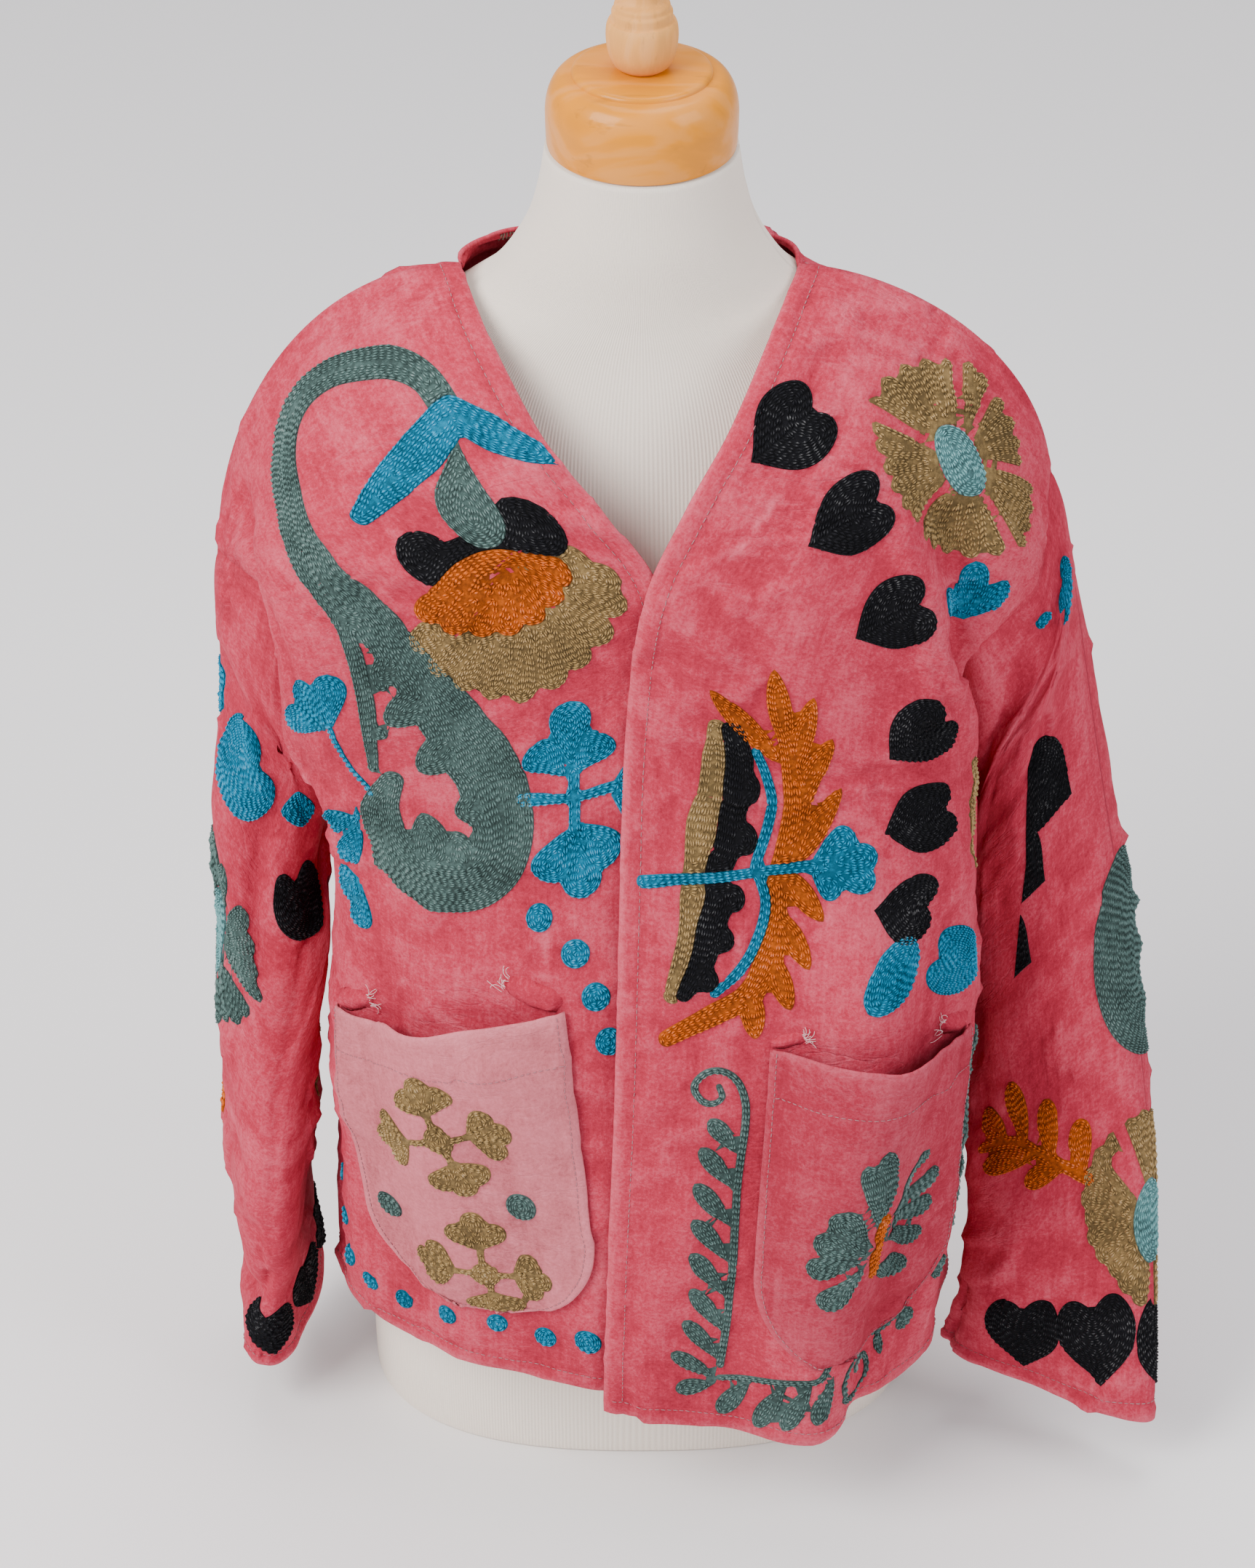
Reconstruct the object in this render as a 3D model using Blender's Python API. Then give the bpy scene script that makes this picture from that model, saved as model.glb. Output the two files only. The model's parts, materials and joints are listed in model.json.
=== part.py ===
"""A velvet kimono jacket worn by a limbless dress form with a turned wooden neck cap.

Blender 4.5, metres, +Z up. The jacket's front faces -Y, and left and right are the wearer's, so the
left side is at +X. The origin is the centre of the form's flat base. Every cloth piece is a wall worked
out on a grid of two shares: across the piece and up it, or round it and along it.
"""

import math
from collections import namedtuple

import bpy
import numpy as np

# Cloth and seams
CLOTH = 0.0020
SEAM_GAP = 0.0004
REST_GAP = 0.0010

# Rows and columns of the grids, as cells for each interval of a table or across a piece
CELLS_PER_ROW = 2
FRONT_CELLS = 18
NECK_CELLS = 5
NECK_SHARE = 0.36
SLEEVE_CELLS_PER_ROW = 3
UNDERARM_ROW = 4

# One row is one patch pocket as cut, and where its foot is sewn: the middle from the front edge, and the
# height above the hem. The mouth's middle leans from the foot's, tilt lowers the mouth's far end, and
# bow lifts its middle.
Pocket = namedtuple("Pocket", "width height corner from_edge above_hem lean tilt bow")
LEFT_POCKET = Pocket(0.138, 0.189, 0.054, 0.148, 0.054, 0.002, -0.10, 0.006)
RIGHT_POCKET = Pocket(0.142, 0.182, 0.054, 0.104, 0.049, 0.022, -0.20, 0.001)
POCKET_GAPE = 0.0125
POCKET_CELLS = 12
POCKET_CLEAR = 0.0009
POCKET_SAMPLES = 4

# Dress form
FORM_BASE_ROUND = 0.004
FORM_SIDES = 32
CAP_RADIUS = 0.0477
CAP_HEIGHT = 0.041
CAP_RIM_RADIUS = 0.0350
FORM_TOP = 0.7790
TURNED_SIDES = 28

# One row is one level of a front, from hem to shoulder. The edge is the front opening, then the neck.
# The side is the side seam up to the underarm, then the armhole. The two pulls shape the curve between
# them: the first leaves the edge, and the second comes in to the side. rise lifts both pulls.
Front = namedtuple(
    "Front",
    "edge_x edge_y edge_z pull_x pull_y turn_x turn_y side_x side_y side_z rise",
)
LEFT_FRONT = [
    Front(-0.020, -0.163, 0.089, 0.080, -0.012, 0.052, -0.135, 0.163, 0.000, 0.086, -0.018),
    Front(-0.017, -0.159, 0.205, 0.095, -0.018, 0.086, -0.130, 0.156, 0.000, 0.195, 0.000),
    Front(-0.013, -0.152, 0.315, 0.105, -0.018, 0.100, -0.114, 0.152, 0.000, 0.300, 0.000),
    Front(-0.011, -0.143, 0.417, 0.110, -0.016, 0.096, -0.104, 0.150, 0.000, 0.380, 0.000),
    Front(-0.008, -0.134, 0.514, 0.100, -0.010, 0.080, -0.096, 0.152, 0.000, 0.430, 0.000),
    Front(0.000, -0.128, 0.588, 0.080, -0.010, 0.018, -0.060, 0.168, -0.054, 0.512, 0.006),
    Front(0.021, -0.118, 0.638, 0.060, -0.012, 0.000, -0.054, 0.188, -0.046, 0.530, 0.016),
    Front(0.043, -0.098, 0.673, 0.045, -0.016, -0.006, -0.044, 0.205, -0.032, 0.541, 0.028),
    Front(0.063, -0.060, 0.704, 0.040, -0.010, -0.008, -0.028, 0.209, -0.017, 0.571, 0.034),
    Front(0.079, 0.000, 0.713, 0.055, -0.002, -0.010, -0.010, 0.211, 0.000, 0.594, 0.036),
]
RIGHT_FRONT = [
    Front(0.014, -0.158, 0.094, -0.070, -0.004, -0.045, -0.100, -0.164, 0.000, 0.090, 0.008),
    Front(0.014, -0.154, 0.200, -0.090, -0.008, -0.052, -0.100, -0.157, 0.000, 0.196, 0.000),
    Front(0.014, -0.146, 0.312, -0.100, -0.010, -0.070, -0.096, -0.147, 0.000, 0.300, 0.000),
    Front(0.015, -0.137, 0.414, -0.100, -0.010, -0.072, -0.096, -0.143, 0.000, 0.380, 0.000),
    Front(0.016, -0.128, 0.510, -0.095, -0.010, -0.100, -0.100, -0.149, 0.000, 0.425, 0.000),
    Front(0.010, -0.123, 0.592, -0.080, -0.010, -0.080, -0.066, -0.166, -0.054, 0.520, 0.010),
    Front(-0.018, -0.116, 0.636, -0.060, -0.012, -0.044, -0.060, -0.184, -0.055, 0.546, 0.020),
    Front(-0.048, -0.097, 0.668, -0.048, -0.014, -0.010, -0.048, -0.200, -0.044, 0.555, 0.034),
    Front(-0.075, -0.056, 0.701, -0.045, -0.010, 0.006, -0.030, -0.212, -0.024, 0.552, 0.048),
    Front(-0.091, 0.000, 0.713, -0.060, -0.002, 0.008, -0.010, -0.221, 0.000, 0.545, 0.058),
]

# One row is one level of the back, beside the same row of the fronts, whose sides it shares as far as
# the underarm. The armhole columns give the back half of each armhole.
Back = namedtuple(
    "Back",
    "centre_y centre_z pull turn_x turn_y left_y left_z right_y right_z rise",
)
BACK = [
    Back(0.128, 0.084, 0.120, 0.006, 0.095, 0.000, 0.086, 0.000, 0.090, 0.000),
    Back(0.120, 0.195, 0.115, 0.004, 0.090, 0.000, 0.195, 0.000, 0.196, 0.000),
    Back(0.112, 0.305, 0.110, 0.002, 0.085, 0.000, 0.300, 0.000, 0.300, 0.000),
    Back(0.108, 0.405, 0.105, 0.006, 0.080, 0.000, 0.380, 0.000, 0.380, 0.000),
    Back(0.108, 0.500, 0.100, 0.012, 0.070, 0.000, 0.430, 0.000, 0.425, 0.000),
    Back(0.108, 0.570, 0.095, 0.004, 0.054, 0.050, 0.500, 0.050, 0.495, 0.004),
    Back(0.105, 0.622, 0.090, -0.008, 0.048, 0.050, 0.532, 0.050, 0.532, 0.016),
    Back(0.096, 0.660, 0.080, -0.012, 0.042, 0.038, 0.556, 0.040, 0.546, 0.030),
    Back(0.081, 0.690, 0.072, -0.014, 0.032, 0.020, 0.578, 0.021, 0.549, 0.042),
    Back(0.0625, 0.704, 0.064, -0.016, 0.024, 0.000, 0.594, 0.000, 0.545, 0.050),
]
NECK_BLEND_FROM = 0.72

# One row is one ring of a sleeve after the armhole: its outer and inner ends, and its half depth
# across them. square is 0 for an ellipse and grows as the cloth is pressed flat.
Ring = namedtuple(
    "Ring", "outer_x outer_y outer_z inner_x inner_y inner_z half_depth square"
)
LEFT_SLEEVE = [
    Ring(0.223, 0.004, 0.547, 0.168, 0.012, 0.400, 0.052, 0.0),
    Ring(0.233, 0.000, 0.490, 0.172, 0.016, 0.350, 0.048, 0.1),
    Ring(0.245, -0.014, 0.420, 0.176, 0.013, 0.295, 0.042, 0.2),
    Ring(0.259, -0.034, 0.345, 0.182, 0.002, 0.235, 0.035, 0.2),
    Ring(0.272, -0.056, 0.268, 0.188, -0.020, 0.175, 0.029, 0.3),
    Ring(0.282, -0.078, 0.190, 0.187, -0.040, 0.122, 0.024, 0.3),
    Ring(0.287, -0.099, 0.111, 0.181, -0.052, 0.080, 0.020, 0.3),
    Ring(0.290, -0.117, 0.040, 0.171, -0.056, 0.050, 0.017, 0.3),
]
RIGHT_SLEEVE = [
    Ring(-0.223, 0.014, 0.492, -0.164, 0.013, 0.390, 0.044, 0.0),
    Ring(-0.224, 0.022, 0.436, -0.178, -0.010, 0.342, 0.036, 0.1),
    Ring(-0.216, 0.031, 0.376, -0.187, -0.043, 0.294, 0.030, 0.2),
    Ring(-0.213, 0.037, 0.312, -0.197, -0.073, 0.242, 0.027, 0.2),
    Ring(-0.210, 0.040, 0.244, -0.203, -0.088, 0.190, 0.026, 0.2),
    Ring(-0.207, 0.042, 0.176, -0.207, -0.090, 0.138, 0.023, 0.2),
    Ring(-0.203, 0.040, 0.108, -0.212, -0.080, 0.086, 0.019, 0.2),
    Ring(-0.197, 0.034, 0.046, -0.215, -0.072, 0.040, 0.018, 0.2),
]
SLEEVE_BLEND = 0.20

# One row is one soft fold of a piece: it runs from one place to another, given as shares across and
# up the piece. A trough has a negative height.
Fold = namedtuple("Fold", "across up to_across to_up height width")
LEFT_FRONT_FOLDS = [
    Fold(0.37, -0.16, 0.38, 0.36, 0.023, 0.031),
    Fold(0.49, -0.16, 0.46, 0.20, -0.007, 0.014),
    Fold(0.82, -0.04, 0.72, 0.42, -0.006, 0.018),
    Fold(0.54, 0.80, 0.92, 0.53, -0.015, 0.026),
    Fold(0.42, 0.78, 0.74, 0.50, 0.005, 0.018),
    Fold(0.36, 0.90, 0.30, 0.55, 0.003, 0.022),
]
RIGHT_FRONT_FOLDS = [
    Fold(0.84, 0.94, 0.93, 0.72, -0.008, 0.014),
    Fold(0.60, 0.46, 0.52, 0.12, -0.004, 0.022),
    Fold(0.84, 0.34, 0.70, 0.48, -0.005, 0.018),
    Fold(0.40, 0.00, 0.44, 0.22, 0.005, 0.018),
    Fold(0.70, 0.00, 0.66, 0.22, 0.005, 0.016),
]
BACK_FOLDS = [
    Fold(-0.34, -0.02, -0.26, 0.62, 0.010, 0.030),
    Fold(0.30, -0.02, 0.24, 0.60, 0.011, 0.032),
    Fold(0.00, 0.00, 0.02, 0.48, -0.006, 0.034),
    Fold(-0.66, 0.00, -0.58, 0.46, -0.006, 0.026),
    Fold(0.66, 0.00, 0.58, 0.44, -0.006, 0.026),
    Fold(-0.80, 0.86, -0.74, 0.46, -0.007, 0.022),
    Fold(0.80, 0.86, 0.74, 0.46, -0.007, 0.022),
]
LEFT_SLEEVE_FOLDS = [
    Fold(0.16, 0.12, 0.20, 0.46, 0.006, 0.018),
    Fold(0.34, 0.14, 0.36, 0.62, -0.007, 0.016),
    Fold(0.42, 0.84, 0.44, 1.02, -0.008, 0.014),
    Fold(0.72, 0.20, 0.70, 0.80, -0.006, 0.022),
]
RIGHT_SLEEVE_FOLDS = [
    Fold(0.26, 0.20, 0.40, 0.38, -0.008, 0.016),
    Fold(0.42, 0.70, 0.46, 0.84, -0.006, 0.014),
    Fold(0.30, 0.90, 0.56, 0.80, -0.007, 0.012),
    Fold(0.76, 0.24, 0.72, 0.86, -0.005, 0.020),
]

# One row is one level of the form: half width, and how far it stands forward and back of the axis.
# roundness 1 is an ellipse, and less is fuller at the corners.
FormLevel = namedtuple("FormLevel", "height half_width front back roundness")
FORM = [
    FormLevel(0.000, 0.1545, 0.1025, 0.1025, 0.80),
    FormLevel(0.060, 0.1545, 0.1040, 0.1050, 0.80),
    FormLevel(0.140, 0.1490, 0.1030, 0.1050, 0.82),
    FormLevel(0.220, 0.1340, 0.0930, 0.0940, 0.86),
    FormLevel(0.310, 0.1190, 0.0850, 0.0800, 0.90),
    FormLevel(0.400, 0.1260, 0.0950, 0.0820, 0.90),
    FormLevel(0.480, 0.1350, 0.1120, 0.0870, 0.90),
    FormLevel(0.550, 0.1400, 0.1040, 0.0880, 0.90),
    FormLevel(0.610, 0.1440, 0.0820, 0.0830, 0.90),
    FormLevel(0.650, 0.1420, 0.0680, 0.0700, 0.92),
    FormLevel(0.680, 0.1200, 0.0570, 0.0580, 0.94),
    FormLevel(0.698, 0.0940, 0.0525, 0.0545, 0.96),
    FormLevel(0.7085, 0.0785, 0.0510, 0.0530, 1.00),
    FormLevel(0.720, 0.0680, 0.0500, 0.0525, 1.00),
    FormLevel(0.738, 0.0575, 0.0495, 0.0520, 1.00),
    FormLevel(0.758, 0.0515, 0.0480, 0.0490, 1.00),
    FormLevel(FORM_TOP, 0.0480, 0.0475, 0.0475, 1.00),
]
FORM_ROWS = 27

# One row is one turn of the lathe: radius, and height above the piece's own foot.
Turn = namedtuple("Turn", "radius height")
FINIAL = [
    Turn(0.0110, 0.0000),
    Turn(0.0140, 0.0025),
    Turn(0.0165, 0.0080),
    Turn(0.0177, 0.0150),
    Turn(0.0176, 0.0215),
    Turn(0.0165, 0.0250),
    Turn(0.0150, 0.0262),
    Turn(0.0150, 0.0300),
    Turn(0.0138, 0.0315),
    Turn(0.0135, 0.0340),
    Turn(0.0105, 0.0365),
    Turn(0.0100, 0.0400),
    Turn(0.0115, 0.0480),
    Turn(0.0130, 0.0560),
    Turn(0.0135, 0.0620),
    Turn(0.0115, 0.0690),
    Turn(0.0070, 0.0735),
]

PINK = (0.66, 0.19, 0.21)
PINK_PALE = (0.70, 0.26, 0.28)
JERSEY = (0.78, 0.74, 0.68)
MAPLE = (0.62, 0.33, 0.10)
BEECH = (0.74, 0.52, 0.30)


def smoothstep(x):
    """0 below 0, 1 above 1, and an even rise between."""
    x = np.clip(x, 0.0, 1.0)
    return x * x * (3.0 - 2.0 * x)


def unit(vectors):
    """Vectors of length 1, along the last axis."""
    return vectors / np.maximum(np.linalg.norm(vectors, axis=-1, keepdims=True), 1e-12)


def spline(table, share):
    """Rows of a table at shares from 0 to 1, on a Catmull-Rom curve through its rows."""
    rows = np.asarray(table, float)
    last = len(rows) - 1
    padded = np.vstack([2 * rows[0] - rows[1], rows, 2 * rows[-1] - rows[-2]])
    place = np.clip(np.asarray(share, float), 0.0, 1.0) * last
    cell = np.minimum(place.astype(int), last - 1)
    x = (place - cell)[..., None]
    before, start, end, after = (padded[cell + k] for k in range(4))
    return 0.5 * (
        2 * start
        + (end - before) * x
        + (2 * before - 5 * start + 4 * end - after) * x**2
        + (3 * start - before - 3 * end + after) * x**3
    )


def side_line(table, share):
    """The last columns of a table with a corner at the underarm, where three pieces meet."""
    corner = UNDERARM_ROW / (len(table) - 1)
    below = spline(table[: UNDERARM_ROW + 1], share / corner)
    above = spline(table[UNDERARM_ROW:], (share - corner) / (1.0 - corner))
    return np.where((share < corner)[:, None], below, above)


def bezier(start, pull, turn, end, share):
    """Cubic curves from start to end: one for each row of the four arrays."""
    x = np.asarray(share, float)[None, :, None]
    corners = [np.asarray(c, float)[:, None, :] for c in (start, pull, turn, end)]
    weights = ((1 - x) ** 3, 3 * x * (1 - x) ** 2, 3 * x**2 * (1 - x), x**3)
    return sum(w * c for w, c in zip(weights, corners))


def grid_normals(points, outward, round_piece=False):
    """Unit normals of a grid of points, turned so that they agree with outward."""
    if round_piece:
        wrapped = np.concatenate([points[:, -2:-1], points, points[:, 1:2]], axis=1)
        along_row = np.gradient(wrapped, axis=1)[:, 1:-1]
    else:
        along_row = np.gradient(points, axis=1)
    normals = unit(np.cross(along_row, np.gradient(points, axis=0)))
    return normals * np.sign((normals * outward).sum(axis=-1, keepdims=True).mean())


def fold_heights(folds, across, up, width, length):
    """How far soft folds lift each point of a piece that is width by length when laid flat.

    Each fold is a bell curve of the distance from its line, fading out at both ends.
    """
    lift = np.zeros(np.broadcast(across, up).shape)
    for fold in folds:
        start = np.array([fold.across * width, fold.up * length])
        run = np.array([fold.to_across * width, fold.to_up * length]) - start
        x = across * width - start[0]
        y = up * length - start[1]
        along = (x * run[0] + y * run[1]) / (run @ run)
        off = (x * run[1] - y * run[0]) / np.linalg.norm(run)
        fade = smoothstep((along + 0.12) / 0.3) * smoothstep((1.12 - along) / 0.3)
        lift += fold.height * fade * np.exp(-((off / fold.width) ** 2))
    return lift


def form_radius(points):
    """How far points stand from the form's axis, where 1 is on the form's surface."""
    rows = spline(FORM, np.linspace(0.0, 1.0, FORM_ROWS + 1))
    level = FormLevel(*(np.interp(points[..., 2], rows[:, 0], column) for column in rows.T))
    depth = np.where(points[..., 1] < 0, level.front, level.back)
    power = 2.0 / level.roundness
    x = abs(points[..., 0] / level.half_width) ** power
    y = abs(points[..., 1] / depth) ** power
    return (x + y) ** (1.0 / power)


def rest_on_form(points):
    """Points moved out, where they need it, so that the cloth rests on the form and not in it."""
    clear = CLOTH + REST_GAP
    small = 1e-4
    for _ in range(4):
        radius = form_radius(points)
        slope = np.stack(
            [(form_radius(points + step) - radius) / small for step in np.eye(3) * small], -1
        )
        steep = np.maximum(np.linalg.norm(slope, axis=-1), 1e-6)
        short = np.clip(clear - (radius - 1.0) / steep, 0.0, 0.01)
        points = points + slope / steep[..., None] * short[..., None]
    return points


def front_grid(table, folds, cells_across, rows_up):
    """Outer points of a front: rows from hem to shoulder, columns from the edge to the side."""
    up = np.linspace(0.0, 1.0, rows_up + 1)
    across = np.linspace(0.0, 1.0, cells_across + 1)
    c = Front(*spline(table, up).T)
    edge = np.stack([c.edge_x, c.edge_y, c.edge_z], -1)
    corner = Front(*side_line(table, up).T)
    side = np.stack([corner.side_x, corner.side_y, corner.side_z], -1)
    step = (side[:, 2] - c.edge_z) / 3.0
    pull = edge + np.stack([c.pull_x, c.pull_y, step + c.rise], -1)
    turn = side + np.stack([c.turn_x, c.turn_y, c.rise - step], -1)
    points = bezier(edge, pull, turn, side, across)
    facing = np.array([0.0, -1.0, 0.4])
    normals = grid_normals(points, facing)
    width = np.linalg.norm(np.diff(points[len(up) // 3], axis=0), axis=1).sum()
    length = np.linalg.norm(np.diff(points[:, 0], axis=0), axis=1).sum()
    lift = fold_heights(folds, across[None, :], up[:, None], width, length)
    held = smoothstep((1.0 - across) / 0.10)[None, :] * smoothstep((1.0 - up) / 0.10)[:, None]
    return rest_on_form(points + normals * (lift * held)[..., None])


def back_grid(rows_up, left_top, right_top):
    """Outer points of the back: rows from hem to neck, columns from the right side to the left.

    left_top and right_top are the fronts' shoulder rows, from neck to armhole, which the back's top
    row follows outside the neck.
    """
    up = np.linspace(0.0, 1.0, rows_up + 1)
    neck_cells = NECK_CELLS * (len(left_top) - 1) // FRONT_CELLS
    across = np.concatenate(
        [
            np.linspace(0.0, NECK_SHARE, neck_cells + 1),
            np.linspace(NECK_SHARE, 1.0, len(left_top))[1:],
        ]
    )
    c = Back(*spline(BACK, up).T)
    centre = np.stack([np.zeros_like(up), c.centre_y, c.centre_z], -1)
    halves = []
    corner = Back(*side_line(BACK, up).T)
    for table, top, side_y, side_z, sign in (
        (RIGHT_FRONT, right_top, corner.right_y, corner.right_z, -1.0),
        (LEFT_FRONT, left_top, corner.left_y, corner.left_z, 1.0),
    ):
        side = np.stack([Front(*side_line(table, up).T).side_x, side_y, side_z], -1)
        step = (side_z - c.centre_z) / 3.0
        pull = centre + np.stack([sign * c.pull, 0 * up, step + c.rise], -1)
        turn = side + np.stack([sign * c.turn_x, c.turn_y, c.rise - step], -1)
        points = bezier(centre, pull, turn, side, across)
        neck_point = top[0]
        neck_end = neck_point[None] + [[sign * 0.004, 0.036, 0.001]]
        neck = bezier(
            centre[-1:],
            centre[-1:] + [[sign * 0.052, 0.0, 0.0]],
            neck_end,
            neck_point[None],
            np.linspace(0.0, 1.0, neck_cells + 1),
        )[0]
        top_row = np.vstack([neck, top[1:]])
        blend = smoothstep((up - NECK_BLEND_FROM) / (1.0 - NECK_BLEND_FROM)) ** 2
        halves.append(points + blend[:, None, None] * (top_row - points[-1])[None])
    points = np.concatenate([halves[0][:, ::-1], halves[1][:, 1:]], axis=1)
    across = np.concatenate([-across[::-1], across[1:]])
    normals = grid_normals(points, np.array([0.0, 1.0, 0.4]))
    lift = fold_heights(BACK_FOLDS, across[None, :], up[:, None], 0.25, 0.62)
    held = smoothstep((1.0 - abs(across)) / 0.08)[None, :] * smoothstep((1.0 - up) / 0.12)[:, None]
    return rest_on_form(points + normals * (lift * held)[..., None])


def sleeve_grid(table, armhole, rows_along, folds, sign):
    """Outer points of a sleeve: rows from armhole to cuff, columns round it from the shoulder tip.

    armhole is the closed loop of the body's edge, front half first. Each later ring is an ellipse
    between its outer and inner ends, and the first third of the sleeve eases from one to the other.
    """
    angle = np.linspace(0.0, 2.0 * math.pi, len(armhole))
    tip = armhole[0]
    under = armhole[len(armhole) // 2]
    first = Ring(*tip, *under, table[0].half_depth, 0.0)
    along = np.linspace(0.0, 1.0, rows_along + 1)
    c = Ring(*spline([first, *table], along).T)
    outer = np.stack([c.outer_x, c.outer_y, c.outer_z], -1)
    inner = np.stack([c.inner_x, c.inner_y, c.inner_z], -1)
    middle = (outer + inner) / 2.0
    reach = (outer - inner) / 2.0
    run = np.gradient(middle, axis=0)
    depth = unit(np.cross(reach, run)) * c.half_depth[:, None]
    forward = depth @ np.array([sign * 0.3, -1.0, 0.0])
    front = depth * np.where(forward < 0, -1.0, 1.0)[:, None]
    bulge = 1.0 + c.square[:, None] * 0.22 * np.sin(2.0 * angle)[None, :] ** 2
    ring = (
        middle[:, None]
        + reach[:, None] * (np.cos(angle) * bulge)[..., None]
        + front[:, None] * (np.sin(angle) * bulge)[..., None]
    )
    carried = armhole[None] + (middle - middle[0])[:, None]
    keep = (1.0 - smoothstep(along / SLEEVE_BLEND))[:, None, None]
    points = ring * (1.0 - keep) + carried * keep
    outward = points - points.mean(axis=1, keepdims=True)
    normals = grid_normals(points, outward, True)
    length = np.linalg.norm(np.diff(middle, axis=0), axis=1).sum()
    girth = np.linalg.norm(np.diff(points[rows_along // 2], axis=0), axis=1).sum()
    lift = fold_heights(
        folds, (angle / (2.0 * math.pi))[None, :], along[:, None], girth, length
    )
    held = smoothstep(along / 0.10)[:, None]
    points = points + normals * (lift * held)[..., None]
    points[:, -1] = points[:, 0]
    return points


class Panel:
    """A grid of outer points with its normals, which can also be read in metres as if laid flat."""

    def __init__(self, points, facing, round_piece=False):
        self.points = points
        self.round_piece = round_piece
        self.normals = grid_normals(points, facing, round_piece)

    def at(self, across, up):
        """Points and normals at metres across from the first column and metres up from the first row."""
        points = self.points
        rise = np.linalg.norm(np.diff(points, axis=0), axis=2).mean(axis=1)
        heights = np.concatenate([[0.0], np.cumsum(rise)])
        run = np.linalg.norm(np.diff(points, axis=1), axis=2)
        widths = np.concatenate([np.zeros((len(points), 1)), np.cumsum(run, axis=1)], axis=1)
        row = np.interp(up, heights, np.arange(len(points)))
        low = np.minimum(row.astype(int), len(points) - 2)
        mix = row - low
        column = np.zeros(across.shape)
        for level, share in ((low, 1.0 - mix), (low + 1, mix)):
            for index in np.unique(level):
                chosen = level == index
                column[chosen] += share[chosen] * np.interp(
                    across[chosen], widths[index], np.arange(points.shape[1])
                )
        left = np.minimum(column.astype(int), points.shape[1] - 2)
        side = column - left
        place, normal = (
            self.in_triangle(grid, low, left, side, mix) for grid in (points, self.normals)
        )
        return place, unit(normal)

    @staticmethod
    def in_triangle(grid, low, left, side, mix):
        """Values of a grid in the two triangles of each cell, which part along its rising diagonal."""
        first = grid[low, left]
        last = grid[low + 1, left + 1]
        below = grid[low, left + 1]
        above = grid[low + 1, left]
        side = side[..., None]
        mix = mix[..., None]
        by_below = first + side * (below - first) + mix * (last - below)
        by_above = first + mix * (above - first) + side * (last - above)
        return np.where(side > mix, by_below, by_above)


def share_seam(panel_a, edge_a, panel_b, edge_b, part_valleys=False):
    """Gives two edges that meet in a seam the same normals, and parts them by the seam's gap.

    An edge is a pair of index arrays for the edge itself, and another pair for its neighbours within.
    With part_valleys, each piece keeps its own normals where the seam lies in a valley, so that the
    walls part inside.
    """
    sides = ((panel_a, *edge_a), (panel_b, *edge_b))
    inwards = [unit(panel.points[within] - panel.points[edge]) for panel, edge, within in sides]
    normal = unit(sum(panel.normals[edge] for panel, edge, _ in sides))
    valley = part_valleys * (normal * sum(inwards)).sum(-1, keepdims=True) > 0.0
    for (panel, edge, _), inward in zip(sides, inwards):
        inward = inward - normal * (inward * normal).sum(-1, keepdims=True)
        panel.points[edge] = panel.points[edge] + unit(inward) * SEAM_GAP / 2.0
        panel.normals[edge] = np.where(valley, panel.normals[edge], normal)


def share_corner(*corners):
    """Gives corners that meet at one point the same normal, and parts them by the seam's gap.

    A corner is its panel, the index of the corner and that of its neighbour within the panel.
    """
    normal = unit(sum(panel.normals[corner] for panel, corner, _ in corners))
    meeting = sum(panel.points[corner] for panel, corner, _ in corners) / len(corners)
    for panel, corner, within in corners:
        inward = panel.points[within] - meeting
        inward -= normal * (inward * normal).sum(-1, keepdims=True)
        panel.points[corner] = meeting + unit(inward) * SEAM_GAP * 0.7
        panel.normals[corner] = normal


def add_object(name, vertices, faces, colour, roughness):
    """A closed mesh as a named object with its own material."""
    mesh = bpy.data.meshes.new(name)
    mesh.from_pydata(np.asarray(vertices).tolist(), [], faces)
    mesh.validate()
    mesh.shade_smooth()
    mesh.set_sharp_from_angle(angle=math.radians(50.0))
    material = bpy.data.materials.new(name)
    material.use_nodes = True
    shader = material.node_tree.nodes["Principled BSDF"]
    shader.inputs["Base Color"].default_value = (*colour, 1.0)
    shader.inputs["Roughness"].default_value = roughness
    shader.inputs["Metallic"].default_value = 0.0
    mesh.materials.append(material)
    made = bpy.data.objects.new(name, mesh)
    bpy.context.scene.collection.objects.link(made)
    return made


def turn_outward(vertices, faces):
    """Faces of a closed mesh, reversed if its volume comes out negative."""
    vertices = np.asarray(vertices)
    volume = sum(
        np.dot(vertices[f[0]], np.cross(vertices[f[i]], vertices[f[i + 1]]))
        for f in faces
        for i in range(1, len(f) - 1)
    )
    return faces if volume > 0 else [f[::-1] for f in faces]


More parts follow.
